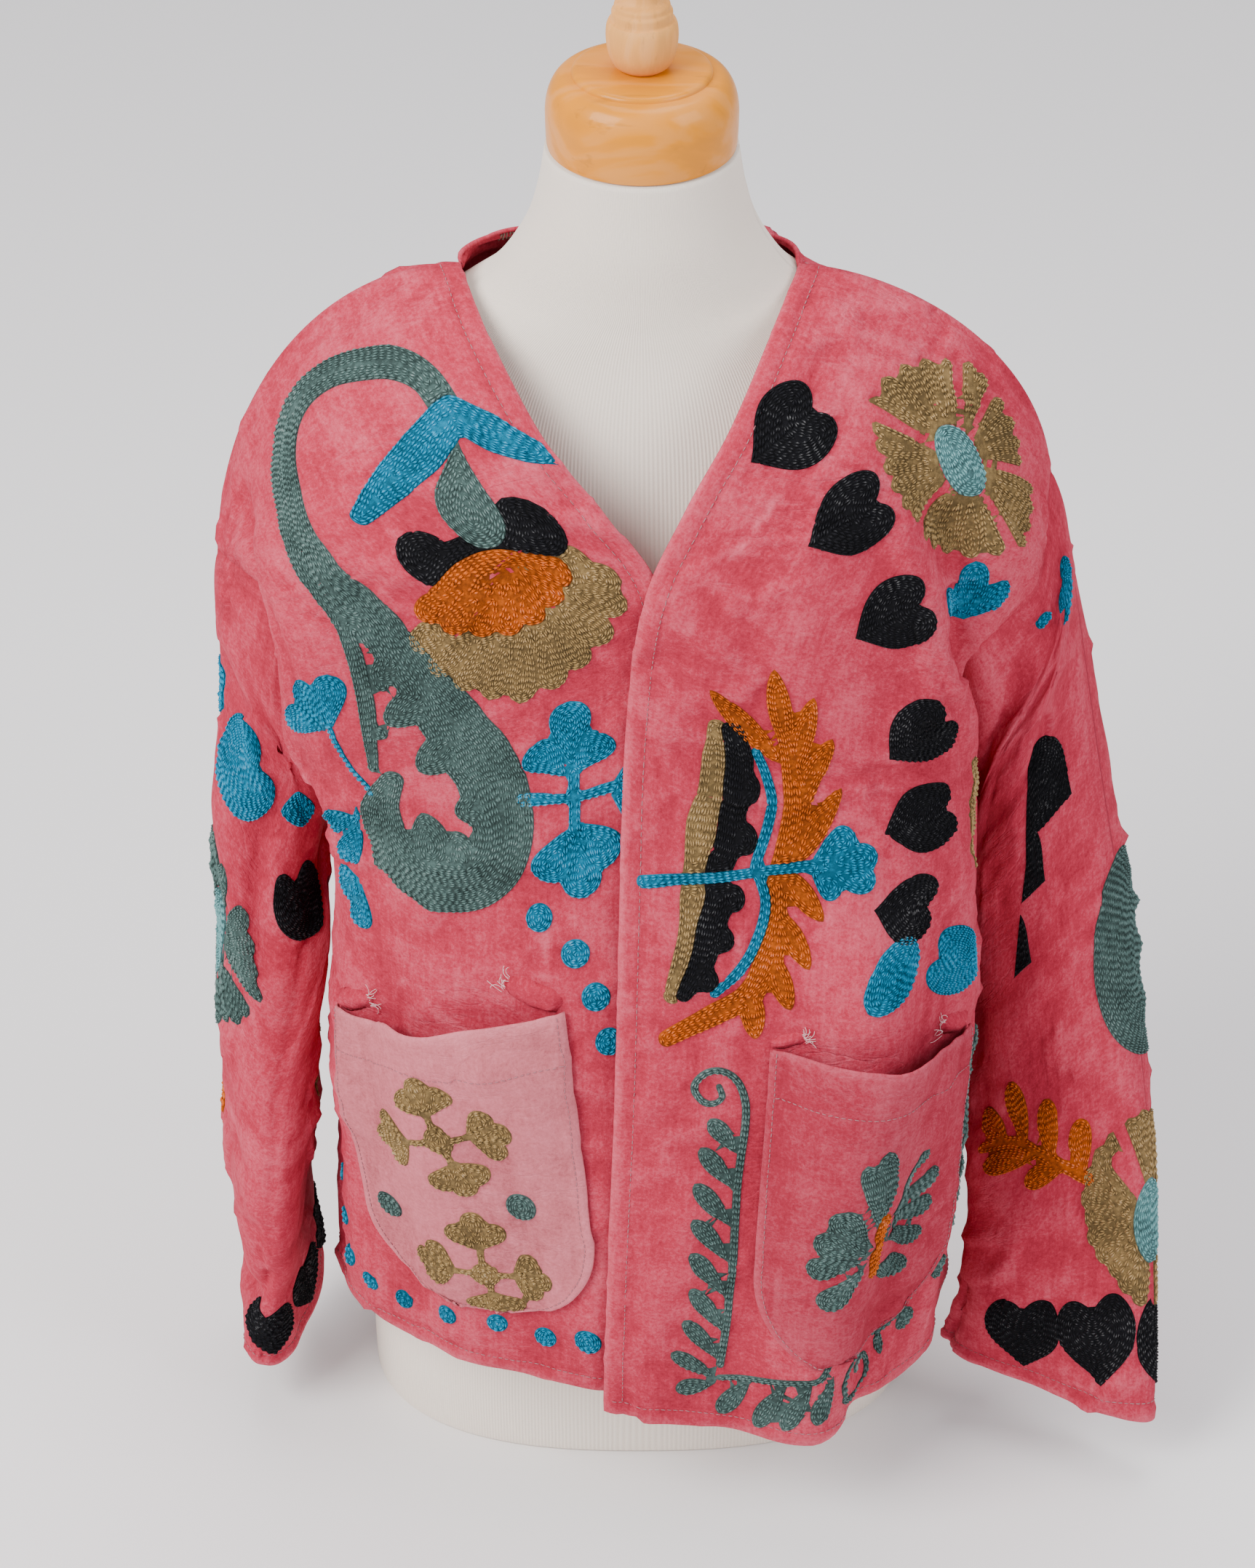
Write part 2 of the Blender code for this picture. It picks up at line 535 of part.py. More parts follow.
def add_wall(name, outer, inner, colour, round_piece=False, roughness=0.9):
    """A cloth wall between two grids of points, closed along every free edge."""
    rows, columns = outer.shape[:2]
    if round_piece:
        outer, inner = outer[:, :-1], inner[:, :-1]
        columns -= 1
    vertices = np.concatenate([outer.reshape(-1, 3), inner.reshape(-1, 3)])
    shift = rows * columns
    cells = columns if round_piece else columns - 1

    def corner(i, j):
        return i * columns + j % columns

    faces = []
    for i in range(rows - 1):
        for j in range(cells):
            first, last = corner(i, j), corner(i + 1, j + 1)
            for third in ([corner(i, j + 1), last], [last, corner(i + 1, j)]):
                faces.append([first, *third])
                faces.append([k + shift for k in reversed([first, *third])])
    for i, flip in ((0, False), (rows - 1, True)):
        for j in range(cells):
            rim = [corner(i, j + 1), corner(i, j), corner(i, j) + shift, corner(i, j + 1) + shift]
            faces.append(rim[::-1] if flip else rim)
    if not round_piece:
        for j, flip in ((0, True), (columns - 1, False)):
            for i in range(rows - 1):
                rim = [corner(i + 1, j), corner(i, j), corner(i, j) + shift, corner(i + 1, j) + shift]
                faces.append(rim[::-1] if flip else rim)
    return add_object(name, vertices, turn_outward(vertices, faces), colour, roughness)


def add_lathe(name, rings, colour, roughness):
    """A solid through closed rings of points, lowest first, with flat ends."""
    rings = np.asarray(rings)
    count, sides = rings.shape[:2]
    vertices = rings.reshape(-1, 3)
    faces = [list(range(sides)), [(count - 1) * sides + j for j in reversed(range(sides))]]
    for i in range(count - 1):
        for j in range(sides):
            k = (j + 1) % sides
            faces.append([i * sides + k, i * sides + j, (i + 1) * sides + j, (i + 1) * sides + k])
    return add_object(name, vertices, turn_outward(vertices, faces), colour, roughness)


def circle(radius, height, sides):
    """A ring of points round the Z axis."""
    angle = np.arange(sides) * 2.0 * math.pi / sides
    return np.stack([radius * np.cos(angle), radius * np.sin(angle), np.full(sides, height)], -1)


def form_ring(level):
    """A ring of the dress form: half an oval in front and half an oval behind."""
    angle = np.arange(FORM_SIDES) * 2.0 * math.pi / FORM_SIDES
    depth = np.where(np.sin(angle) < 0, level.front, level.back)
    across = np.sign(np.cos(angle)) * abs(np.cos(angle)) ** level.roundness
    along = np.sign(np.sin(angle)) * abs(np.sin(angle)) ** level.roundness
    return np.stack(
        [level.half_width * across, depth * along, np.full(FORM_SIDES, level.height)], -1
    )


def build_form():
    """The jersey-covered torso, its turned neck cap and the finial on it."""
    rows = [FormLevel(*row) for row in spline(FORM, np.linspace(0.0, 1.0, FORM_ROWS + 1))]
    foot = rows[0]
    rows[0] = foot._replace(
        half_width=foot.half_width - FORM_BASE_ROUND,
        front=foot.front - FORM_BASE_ROUND,
        back=foot.back - FORM_BASE_ROUND,
    )
    rows.insert(1, foot._replace(height=FORM_BASE_ROUND))
    add_lathe("form_body", [form_ring(row) for row in rows], JERSEY, 0.85)

    cap_foot = FORM_TOP + SEAM_GAP
    round_over = [
        (
            CAP_RIM_RADIUS + (CAP_RADIUS - CAP_RIM_RADIUS) * math.cos(a) ** 0.8,
            0.018 + (CAP_HEIGHT - 0.021) * math.sin(a),
        )
        for a in np.linspace(0.0, math.pi / 2.0 - 0.05, 7)
    ]
    cap = [
        (CAP_RADIUS - 0.0012, 0.0),
        (CAP_RADIUS - 0.0003, 0.006),
        *round_over,
        (CAP_RIM_RADIUS - 0.0004, CAP_HEIGHT - 0.0022),
        (CAP_RIM_RADIUS - 0.0014, CAP_HEIGHT - 0.0006),
        (CAP_RIM_RADIUS - 0.0034, CAP_HEIGHT),
    ]
    rings = [circle(radius, cap_foot + height, TURNED_SIDES) for radius, height in cap]
    add_lathe("neck_cap", rings, MAPLE, 0.25)

    finial_foot = cap_foot + CAP_HEIGHT + SEAM_GAP
    rings = [circle(turn.radius, finial_foot + turn.height, TURNED_SIDES - 8) for turn in FINIAL]
    add_lathe("finial", rings, BEECH, 0.45)


def lift_over_ridges(places, normals, cells):
    """How far each point of a coarse grid has to rise for its facets to pass over the finer grid."""
    fine = np.arange(len(places)) * cells / (len(places) - 1.0)
    weight = np.maximum(1.0 - abs(fine[:, None] - np.arange(cells + 1)[None, :]), 0.0)
    coarse = places[::POCKET_SAMPLES, ::POCKET_SAMPLES]
    facets = np.einsum("ik,jl,klc->ijc", weight, weight, coarse)
    excess = ((places - facets) * normals).sum(axis=-1)
    near = weight > 0.0
    return np.array([[excess[np.ix_(row, column)].max() for column in near.T] for row in near.T])


def pocket_grid(front, pocket):
    """Inner and outer points of a patch pocket on a front.

    Its foot has round corners, so each row is as wide as the outline there. It lies on the front
    at its sewn edges, and its middle and mouth stand away.
    """
    share = np.linspace(0.0, 1.0, POCKET_CELLS * POCKET_SAMPLES + 1)
    height = pocket.height * (0.35 * share**2 + 0.65 * share)
    rise = np.minimum(height, pocket.corner)
    inset = pocket.corner - np.sqrt(pocket.corner**2 - (pocket.corner - rise) ** 2)
    half = pocket.width / 2.0 - inset * 0.98
    centre = pocket.from_edge + pocket.lean * height / pocket.height
    across = centre[:, None] + half[:, None] * (2.0 * share - 1.0)[None, :]
    middle = np.sin(math.pi * share) ** 0.7
    drawn = pocket.tilt * (share - 0.5) + pocket.bow / pocket.height * middle
    up = pocket.above_hem + height[:, None] * (1.0 + drawn[None, :])
    places, normals = front.at(across, up)
    ridge = np.maximum(lift_over_ridges(places, normals, POCKET_CELLS), 0.0)
    stand = POCKET_GAPE * middle[None, :] * smoothstep(height / pocket.height * 1.1)[:, None] ** 1.5
    places, normals, stand = (
        grid[::POCKET_SAMPLES, ::POCKET_SAMPLES] for grid in (places, normals, stand)
    )
    inner = places + normals * (POCKET_CLEAR + stand + ridge)[..., None]
    return inner + normals * CLOTH, inner


def build_jacket():
    """Fronts, back, sleeves and pockets."""
    rows_up = CELLS_PER_ROW * (len(LEFT_FRONT) - 1)
    under = CELLS_PER_ROW * UNDERARM_ROW
    forward = np.array([0.0, -1.0, 0.4])
    left = Panel(front_grid(LEFT_FRONT, LEFT_FRONT_FOLDS, FRONT_CELLS, rows_up), forward)
    right = Panel(front_grid(RIGHT_FRONT, RIGHT_FRONT_FOLDS, FRONT_CELLS, rows_up), forward)
    back = Panel(back_grid(rows_up, left.points[-1], right.points[-1]), -forward)

    def armhole(front, column):
        return np.vstack([front.points[under:, -1][::-1], back.points[under + 1 :, column]])

    sleeves = {}
    for name, table, folds, front, column, sign in (
        ("sleeve_left", LEFT_SLEEVE, LEFT_SLEEVE_FOLDS, left, -1, 1.0),
        ("sleeve_right", RIGHT_SLEEVE, RIGHT_SLEEVE_FOLDS, right, 0, -1.0),
    ):
        loop = armhole(front, column)
        points = sleeve_grid(table, loop, SLEEVE_CELLS_PER_ROW * len(table), folds, sign)
        outward = points - points.mean(axis=1, keepdims=True)
        sleeves[name] = Panel(points, outward, True)

    last = rows_up
    every = np.arange(last + 1)
    side_rows = every[: under + 1]
    arm_rows = every[under:]
    shoulder = np.arange(FRONT_CELLS + 1)
    back_last = back.points.shape[1] - 1
    for front, back_edge, back_within, top in (
        (left, back_last, back_last - 1, back_last - FRONT_CELLS + shoulder),
        (right, 0, 1, FRONT_CELLS - shoulder),
    ):
        share_seam(
            front,
            ((side_rows, FRONT_CELLS), (side_rows, FRONT_CELLS - 1)),
            back,
            ((side_rows, back_edge), (side_rows, back_within)),
        )
        share_seam(
            front, ((last, shoulder), (last - 1, shoulder)), back, ((last, top), (last - 1, top))
        )
    for name, front, back_edge, back_within in (
        ("sleeve_left", left, back_last, back_last - 1),
        ("sleeve_right", right, 0, 1),
    ):
        sleeve = sleeves[name]
        half = len(arm_rows) - 1
        front_half = np.arange(half, -1, -1)
        back_half = np.arange(half, 2 * half + 1)
        share_seam(
            front,
            ((arm_rows, FRONT_CELLS), (arm_rows, FRONT_CELLS - 1)),
            sleeve,
            ((0, front_half), (1, front_half)),
            part_valleys=True,
        )
        share_seam(
            back,
            ((arm_rows, back_edge), (arm_rows, back_within)),
            sleeve,
            ((0, back_half), (1, back_half)),
            part_valleys=True,
        )
        for row, column in ((under, half), (last, 0)):
            share_corner(
                (front, (row, FRONT_CELLS), (row, FRONT_CELLS - 1)),
                (back, (row, back_edge), (row, back_within)),
                (sleeve, (0, column), (1, column)),
            )
        sleeve.points[:, -1] = sleeve.points[:, 0]
        sleeve.normals[:, -1] = sleeve.normals[:, 0]

    for name, panel, colour in (
        ("front_left", left, PINK),
        ("front_right", right, PINK),
        ("back", back, PINK),
        ("sleeve_left", sleeves["sleeve_left"], PINK),
        ("sleeve_right", sleeves["sleeve_right"], PINK),
    ):
        inner = panel.points - panel.normals * CLOTH
        add_wall(name, panel.points, inner, colour, panel.round_piece)

    for name, front, pocket in (
        ("pocket_left", left, LEFT_POCKET),
        ("pocket_right", right, RIGHT_POCKET),
    ):
        outer, inner = pocket_grid(front, pocket)
        add_wall(name, outer, inner, PINK_PALE)


def main():
    for old in list(bpy.data.objects):
        bpy.data.objects.remove(old)
    build_form()
    build_jacket()


main()
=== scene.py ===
"""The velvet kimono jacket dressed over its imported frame: cloth, stitching, embroidery and the form.

Metres, +Z up, the jacket's front towards -Y; left and right are the wearer's. Each cloth piece is the
same worked-out surface as its solid, on a finer grid and with its smaller creases, and everything sewn
on a piece is placed on it by metres across and metres up, as on the cut cloth.
"""

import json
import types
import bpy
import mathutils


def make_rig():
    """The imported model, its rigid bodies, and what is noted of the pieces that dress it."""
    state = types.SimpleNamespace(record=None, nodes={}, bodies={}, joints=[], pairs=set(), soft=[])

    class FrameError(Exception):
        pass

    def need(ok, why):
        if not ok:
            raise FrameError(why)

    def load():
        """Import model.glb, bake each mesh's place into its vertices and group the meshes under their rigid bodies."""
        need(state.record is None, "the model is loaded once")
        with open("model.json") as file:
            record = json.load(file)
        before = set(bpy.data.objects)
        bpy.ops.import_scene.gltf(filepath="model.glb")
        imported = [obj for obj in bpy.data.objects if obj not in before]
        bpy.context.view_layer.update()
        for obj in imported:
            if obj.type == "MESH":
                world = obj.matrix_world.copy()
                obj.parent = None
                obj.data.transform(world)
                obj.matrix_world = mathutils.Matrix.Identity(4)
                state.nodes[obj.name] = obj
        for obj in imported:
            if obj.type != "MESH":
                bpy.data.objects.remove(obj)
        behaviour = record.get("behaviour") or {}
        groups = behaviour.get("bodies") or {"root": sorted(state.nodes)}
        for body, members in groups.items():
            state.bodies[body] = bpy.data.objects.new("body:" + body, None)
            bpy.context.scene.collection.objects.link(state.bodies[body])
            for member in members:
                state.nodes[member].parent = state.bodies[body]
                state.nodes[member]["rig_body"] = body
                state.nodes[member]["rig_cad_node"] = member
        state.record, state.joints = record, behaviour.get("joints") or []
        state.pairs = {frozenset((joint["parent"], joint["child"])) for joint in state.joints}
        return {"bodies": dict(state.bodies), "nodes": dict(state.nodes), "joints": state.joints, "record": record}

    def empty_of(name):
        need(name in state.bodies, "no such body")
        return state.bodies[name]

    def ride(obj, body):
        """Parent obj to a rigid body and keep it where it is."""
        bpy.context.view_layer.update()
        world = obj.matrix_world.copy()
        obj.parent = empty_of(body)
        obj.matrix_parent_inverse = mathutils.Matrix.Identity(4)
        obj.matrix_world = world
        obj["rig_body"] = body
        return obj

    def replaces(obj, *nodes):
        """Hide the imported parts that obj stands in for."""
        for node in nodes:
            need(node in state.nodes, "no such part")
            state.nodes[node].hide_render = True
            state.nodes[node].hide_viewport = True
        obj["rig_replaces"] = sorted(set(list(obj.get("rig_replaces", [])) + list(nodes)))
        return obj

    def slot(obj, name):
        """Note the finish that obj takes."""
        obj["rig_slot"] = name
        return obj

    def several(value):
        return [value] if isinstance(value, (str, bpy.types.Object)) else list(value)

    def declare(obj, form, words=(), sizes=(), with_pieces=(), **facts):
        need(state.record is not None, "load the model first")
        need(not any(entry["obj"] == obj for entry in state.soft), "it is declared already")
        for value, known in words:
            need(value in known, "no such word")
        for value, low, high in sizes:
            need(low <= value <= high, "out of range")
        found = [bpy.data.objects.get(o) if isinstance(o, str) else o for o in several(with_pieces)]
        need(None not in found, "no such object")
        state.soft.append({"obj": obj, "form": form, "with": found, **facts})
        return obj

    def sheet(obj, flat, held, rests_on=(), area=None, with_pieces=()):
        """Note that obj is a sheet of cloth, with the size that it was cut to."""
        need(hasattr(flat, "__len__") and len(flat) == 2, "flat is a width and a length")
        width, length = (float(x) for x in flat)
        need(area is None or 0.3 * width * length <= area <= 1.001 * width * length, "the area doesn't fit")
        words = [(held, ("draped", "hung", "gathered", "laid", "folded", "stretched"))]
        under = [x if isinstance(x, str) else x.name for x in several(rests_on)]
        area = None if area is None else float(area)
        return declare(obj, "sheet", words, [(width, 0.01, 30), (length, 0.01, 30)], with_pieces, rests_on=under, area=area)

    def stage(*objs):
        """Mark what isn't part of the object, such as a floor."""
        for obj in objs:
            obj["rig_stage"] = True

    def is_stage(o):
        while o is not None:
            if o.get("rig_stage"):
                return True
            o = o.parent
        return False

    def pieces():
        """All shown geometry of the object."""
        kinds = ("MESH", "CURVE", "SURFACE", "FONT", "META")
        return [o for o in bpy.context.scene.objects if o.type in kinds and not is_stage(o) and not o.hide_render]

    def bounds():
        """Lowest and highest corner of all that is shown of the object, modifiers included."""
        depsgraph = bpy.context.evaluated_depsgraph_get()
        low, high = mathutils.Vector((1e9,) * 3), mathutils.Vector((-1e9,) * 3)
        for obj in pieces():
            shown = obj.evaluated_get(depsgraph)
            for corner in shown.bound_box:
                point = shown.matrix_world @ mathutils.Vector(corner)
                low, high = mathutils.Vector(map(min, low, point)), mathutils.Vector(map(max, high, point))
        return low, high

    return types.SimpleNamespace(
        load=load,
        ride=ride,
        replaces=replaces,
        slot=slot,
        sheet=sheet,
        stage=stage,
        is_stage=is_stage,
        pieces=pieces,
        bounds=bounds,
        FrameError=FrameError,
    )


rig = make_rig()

bl_info = {"name": "Kimono jacket dressing", "version": (1, 0, 0), "blender": (4, 5, 0),
    "location": "3D View > Sidebar > Jacket",
    "description": "Builds the velvet, embroidery, stitching and form of a kimono jacket",
    "category": "Object"}

import json
import math
from collections import namedtuple

import bpy
import numpy as np
from mathutils import Vector

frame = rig.load()
CAD_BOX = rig.bounds()

# What each column of a table counts in: parts of a metre, or of 1 for shares and shape numbers. Tables
# hold whole numbers of these.
FRONT_UNITS = (1000.0,) * 11
BACK_UNITS = (1000.0,) * 10
RING_UNITS = (1000.0,) * 7 + (10.0,)
FOLD_UNITS = (100.0,) * 4 + (10000.0, 1000.0)
LEVEL_UNITS = (1000.0,) * 4 + (100.0,)
TURN_UNITS = (10000.0,) * 2


def read_rows(kind, units, table):
    """Named rows from rows of whole numbers, each column divided by its own unit."""
    return [kind(*(value / part for value, part in zip(row, units))) for row in table]


# The sheet of sizes that the solids share
CLOTH = 0.0020
SEAM_GAP = 0.0004
REST_GAP = 0.0010
FRONT_CELLS = 18
NECK_CELLS = 5
NECK_SHARE = 0.36
UNDERARM_ROW = 4
NECK_BLEND_FROM = 0.72
SLEEVE_BLEND = 0.20
POCKET_GAPE = 0.0125
POCKET_CLEAR = 0.0009
FORM_ROWS = 27
CAP_RADIUS = 0.0477
CAP_HEIGHT = 0.041
CAP_RIM_RADIUS = 0.0350
FORM_BASE_ROUND = 0.004

# One row is one patch pocket as cut, and where its foot is sewn: the middle from the front edge, and the
# height above the hem. The mouth's middle leans from the foot's, tilt lowers the mouth's far end, and
# bow lifts its middle.
Pocket = namedtuple("Pocket", "width height corner from_edge above_hem lean tilt bow")
LEFT_POCKET = Pocket(0.138, 0.189, 0.054, 0.148, 0.054, 0.002, -0.10, 0.006)
RIGHT_POCKET = Pocket(0.142, 0.182, 0.054, 0.104, 0.049, 0.022, -0.20, 0.001)

# One row is one level of a front, from hem to shoulder. The edge is the front opening, then the neck.
# The side is the side seam up to the underarm, then the armhole. The two pulls shape the curve between
# them: the first leaves the edge, and the second comes in to the side. rise lifts both pulls.
Front = namedtuple("Front",
    "edge_x edge_y edge_z pull_x pull_y turn_x turn_y side_x side_y side_z rise")
LEFT_FRONT = read_rows(Front, FRONT_UNITS, [
    (-20, -163, 89, 80, -12, 52, -135, 163, 0, 86, -18),
    (-17, -159, 205, 95, -18, 86, -130, 156, 0, 195, 0),
    (-13, -152, 315, 105, -18, 100, -114, 152, 0, 300, 0),
    (-11, -143, 417, 110, -16, 96, -104, 150, 0, 380, 0),
    (-8, -134, 514, 100, -10, 80, -96, 152, 0, 430, 0),
    (0, -128, 588, 80, -10, 18, -60, 168, -54, 512, 6),
    (21, -118, 638, 60, -12, 0, -54, 188, -46, 530, 16),
    (43, -98, 673, 45, -16, -6, -44, 205, -32, 541, 28),
    (63, -60, 704, 40, -10, -8, -28, 209, -17, 571, 34),
    (79, 0, 713, 55, -2, -10, -10, 211, 0, 594, 36),
])
RIGHT_FRONT = read_rows(Front, FRONT_UNITS, [
    (14, -158, 94, -70, -4, -45, -100, -164, 0, 90, 8),
    (14, -154, 200, -90, -8, -52, -100, -157, 0, 196, 0),
    (14, -146, 312, -100, -10, -70, -96, -147, 0, 300, 0),
    (15, -137, 414, -100, -10, -72, -96, -143, 0, 380, 0),
    (16, -128, 510, -95, -10, -100, -100, -149, 0, 425, 0),
    (10, -123, 592, -80, -10, -80, -66, -166, -54, 520, 10),
    (-18, -116, 636, -60, -12, -44, -60, -184, -55, 546, 20),
    (-48, -97, 668, -48, -14, -10, -48, -200, -44, 555, 34),
    (-75, -56, 701, -45, -10, 6, -30, -212, -24, 552, 48),
    (-91, 0, 713, -60, -2, 8, -10, -221, 0, 545, 58),
])

# One row is one level of the back, beside the same row of the fronts, whose sides it shares as far as
# the underarm. The armhole columns give the back half of each armhole.
Back = namedtuple("Back", "centre_y centre_z pull turn_x turn_y left_y left_z right_y right_z rise")
BACK = read_rows(Back, BACK_UNITS, [
    (128, 84, 120, 6, 95, 0, 86, 0, 90, 0),
    (120, 195, 115, 4, 90, 0, 195, 0, 196, 0),
    (112, 305, 110, 2, 85, 0, 300, 0, 300, 0),
    (108, 405, 105, 6, 80, 0, 380, 0, 380, 0),
    (108, 500, 100, 12, 70, 0, 430, 0, 425, 0),
    (108, 570, 95, 4, 54, 50, 500, 50, 495, 4),
    (105, 622, 90, -8, 48, 50, 532, 50, 532, 16),
    (96, 660, 80, -12, 42, 38, 556, 40, 546, 30),
    (81, 690, 72, -14, 32, 20, 578, 21, 549, 42),
    (62.5, 704, 64, -16, 24, 0, 594, 0, 545, 50),
])

# One row is one ring of a sleeve after the armhole: its outer and inner ends, and its half depth
# across them. square is 0 for an ellipse and grows as the cloth is pressed flat.
Ring = namedtuple("Ring", "outer_x outer_y outer_z inner_x inner_y inner_z half_depth square")
LEFT_SLEEVE = read_rows(Ring, RING_UNITS, [
    (223, 4, 547, 168, 12, 400, 52, 0),
    (233, 0, 490, 172, 16, 350, 48, 1),
    (245, -14, 420, 176, 13, 295, 42, 2),
    (259, -34, 345, 182, 2, 235, 35, 2),
    (272, -56, 268, 188, -20, 175, 29, 3),
    (282, -78, 190, 187, -40, 122, 24, 3),
    (287, -99, 111, 181, -52, 80, 20, 3),
    (290, -117, 40, 171, -56, 50, 17, 3),
])
RIGHT_SLEEVE = read_rows(Ring, RING_UNITS, [
    (-223, 14, 492, -164, 13, 390, 44, 0),
    (-224, 22, 436, -178, -10, 342, 36, 1),
    (-216, 31, 376, -187, -43, 294, 30, 2),
    (-213, 37, 312, -197, -73, 242, 27, 2),
    (-210, 40, 244, -203, -88, 190, 26, 2),
    (-207, 42, 176, -207, -90, 138, 23, 2),
    (-203, 40, 108, -212, -80, 86, 19, 2),
    (-197, 34, 46, -215, -72, 40, 18, 2),
])

# One row is one soft fold of a piece: it runs from one place to another, given as shares across and
# up the piece. A trough has a negative height.
Fold = namedtuple("Fold", "across up to_across to_up height width")
LEFT_FRONT_FOLDS = read_rows(Fold, FOLD_UNITS, [
    (37, -16, 38, 36, 230, 31), (49, -16, 46, 20, -70, 14), (82, -4, 72, 42, -60, 18),
    (54, 80, 92, 53, -150, 26), (42, 78, 74, 50, 50, 18), (36, 90, 30, 55, 30, 22),
])
RIGHT_FRONT_FOLDS = read_rows(Fold, FOLD_UNITS, [
    (84, 94, 93, 72, -80, 14), (60, 46, 52, 12, -40, 22), (84, 34, 70, 48, -50, 18),
    (40, 0, 44, 22, 50, 18), (70, 0, 66, 22, 50, 16),
])
BACK_FOLDS = read_rows(Fold, FOLD_UNITS, [
    (-34, -2, -26, 62, 100, 30), (30, -2, 24, 60, 110, 32), (0, 0, 2, 48, -60, 34),
    (-66, 0, -58, 46, -60, 26), (66, 0, 58, 44, -60, 26), (-80, 86, -74, 46, -70, 22),
    (80, 86, 74, 46, -70, 22),
])
LEFT_SLEEVE_FOLDS = read_rows(Fold, FOLD_UNITS, [
    (16, 12, 20, 46, 60, 18), (34, 14, 36, 62, -70, 16), (42, 84, 44, 102, -80, 14),
    (72, 20, 70, 80, -60, 22),
])
RIGHT_SLEEVE_FOLDS = read_rows(Fold, FOLD_UNITS, [
    (26, 20, 40, 38, -80, 16), (42, 70, 46, 84, -60, 14), (30, 90, 56, 80, -70, 12),
    (76, 24, 72, 86, -50, 20),
])

# One row is one level of the form: half width, and how far it stands forward and back of the axis.
# roundness 1 is an ellipse, and less is fuller at the corners.
FormLevel = namedtuple("FormLevel", "height half_width front back roundness")
FORM = read_rows(FormLevel, LEVEL_UNITS, [
    (0, 154.5, 102.5, 102.5, 80), (60, 154.5, 104, 105, 80),
    (140, 149, 103, 105, 82), (220, 134, 93, 94, 86),
    (310, 119, 85, 80, 90), (400, 126, 95, 82, 90),
    (480, 135, 112, 87, 90), (550, 140, 104, 88, 90),
    (610, 144, 82, 83, 90), (650, 142, 68, 70, 92),
    (680, 120, 57, 58, 94), (698, 94, 52.5, 54.5, 96),
    (708.5, 78.5, 51, 53, 100), (720, 68, 50, 52.5, 100),
    (738, 57.5, 49.5, 52, 100), (758, 51.5, 48, 49, 100),
    (779, 48, 47.5, 47.5, 100),
])
FORM_TOP = FORM[-1].height

# One row is one turn of the lathe: radius, and height above the piece's own foot.
Turn = namedtuple("Turn", "radius height")
FINIAL = read_rows(Turn, TURN_UNITS, [
    (110, 0), (140, 25), (165, 80), (177, 150), (176, 215), (165, 250),
    (150, 262), (150, 300), (138, 315), (135, 340), (105, 365), (100, 400),
    (115, 480), (130, 560), (135, 620), (115, 690), (70, 735),
])

# The neck cap's foot and rim: how far in from the cap's radius, and how high above its foot or below
# its top.
CAP_FOOT = read_rows(Turn, TURN_UNITS, [(22, 0), (10, 7), (5, 25), (3, 60), (1, 120)])
CAP_RIM = read_rows(Turn, TURN_UNITS, [(2, 27), (4, 17), (10, 8), (20, 3), (34, 0)])


# The finer grids that the looks are built on: rows from hem to shoulder, cells from edge to side,
# and rows along a sleeve. They divide the solids' own rows and cells evenly.
FINE_ROWS = 162
FINE_CELLS = 72
SLEEVE_ROWS = 104
POCKET_FINE = 40

# Smaller creases that only the looks have, in the same shares as the folds.
LEFT_FRONT_CREASES = read_rows(Fold, FOLD_UNITS, [
    (50, 8, 52, 30, 12, 5), (62, 44, 60, 66, 16, 7), (16, 30, 22, 56, -14, 12),
    (86, 66, 70, 56, -28, 9), (92, 60, 74, 47, 22, 8), (95, 50, 80, 42, -22, 8),
    (10, 70, 20, 92, -15, 12), (8, 2, 14, 16, 16, 10), (26, 0, 24, 18, -20, 10),
    (66, 1, 62, 16, 26, 11), (78, 0, 80, 14, -26, 11), (90, 0, 88, 20, 20, 10),
    (30, 40, 44, 46, -10, 8), (60, 86, 84, 80, -12, 10),
])
RIGHT_FRONT_CREASES = read_rows(Fold, FOLD_UNITS, [
    (56, 46, 68, 52, -22, 6), (50, 42, 64, 47, 18, 6), (52, 38, 66, 41, -18, 6),
    (60, 35, 78, 37, 16, 7), (22, 36, 24, 47, 12, 5), (82, 64, 66, 48, -24, 9),
    (90, 58, 76, 42, 24, 9), (78, 86, 60, 70, -16, 12), (16, 0, 12, 16, 22, 10),
    (28, 0, 26, 14, -24, 10), (50, 0, 52, 12, -22, 10), (62, 0, 60, 10, 20, 9),
    (80, 0, 78, 14, -24, 10), (40, 60, 52, 74, 12, 11),
])
BACK_CREASES = read_rows(Fold, FOLD_UNITS, [
    (-86, 52, -56, 40, -30, 10), (-90, 44, -62, 30, 26, 9), (88, 54, 58, 42, -30, 10),
    (92, 45, 64, 33, 26, 9), (-20, 30, 4, 36, -16, 8), (10, 22, 30, 28, 16, 8),
    (-46, 0, -44, 16, 28, 12), (-16, 0, -14, 18, -26, 12), (14, 0, 16, 16, 26, 12),
    (46, 0, 44, 18, -26, 12), (80, 0, 78, 14, 22, 10), (-30, 84, -44, 64, -18, 13),
    (34, 86, 40, 62, -18, 13),
])
LEFT_SLEEVE_CREASES = read_rows(Fold, FOLD_UNITS, [
    (28, 6, 44, 20, -30, 10), (24, 12, 42, 28, 26, 9), (20, 30, 40, 36, -20, 9),
    (12, 50, 30, 56, 18, 10), (26, 66, 44, 60, -24, 10), (8, 80, 14, 100, 18, 11),
    (24, 86, 26, 102, -20, 11), (60, 20, 80, 30, -26, 11), (62, 52, 84, 60, 22, 11),
    (66, 84, 70, 102, -22, 11),
])
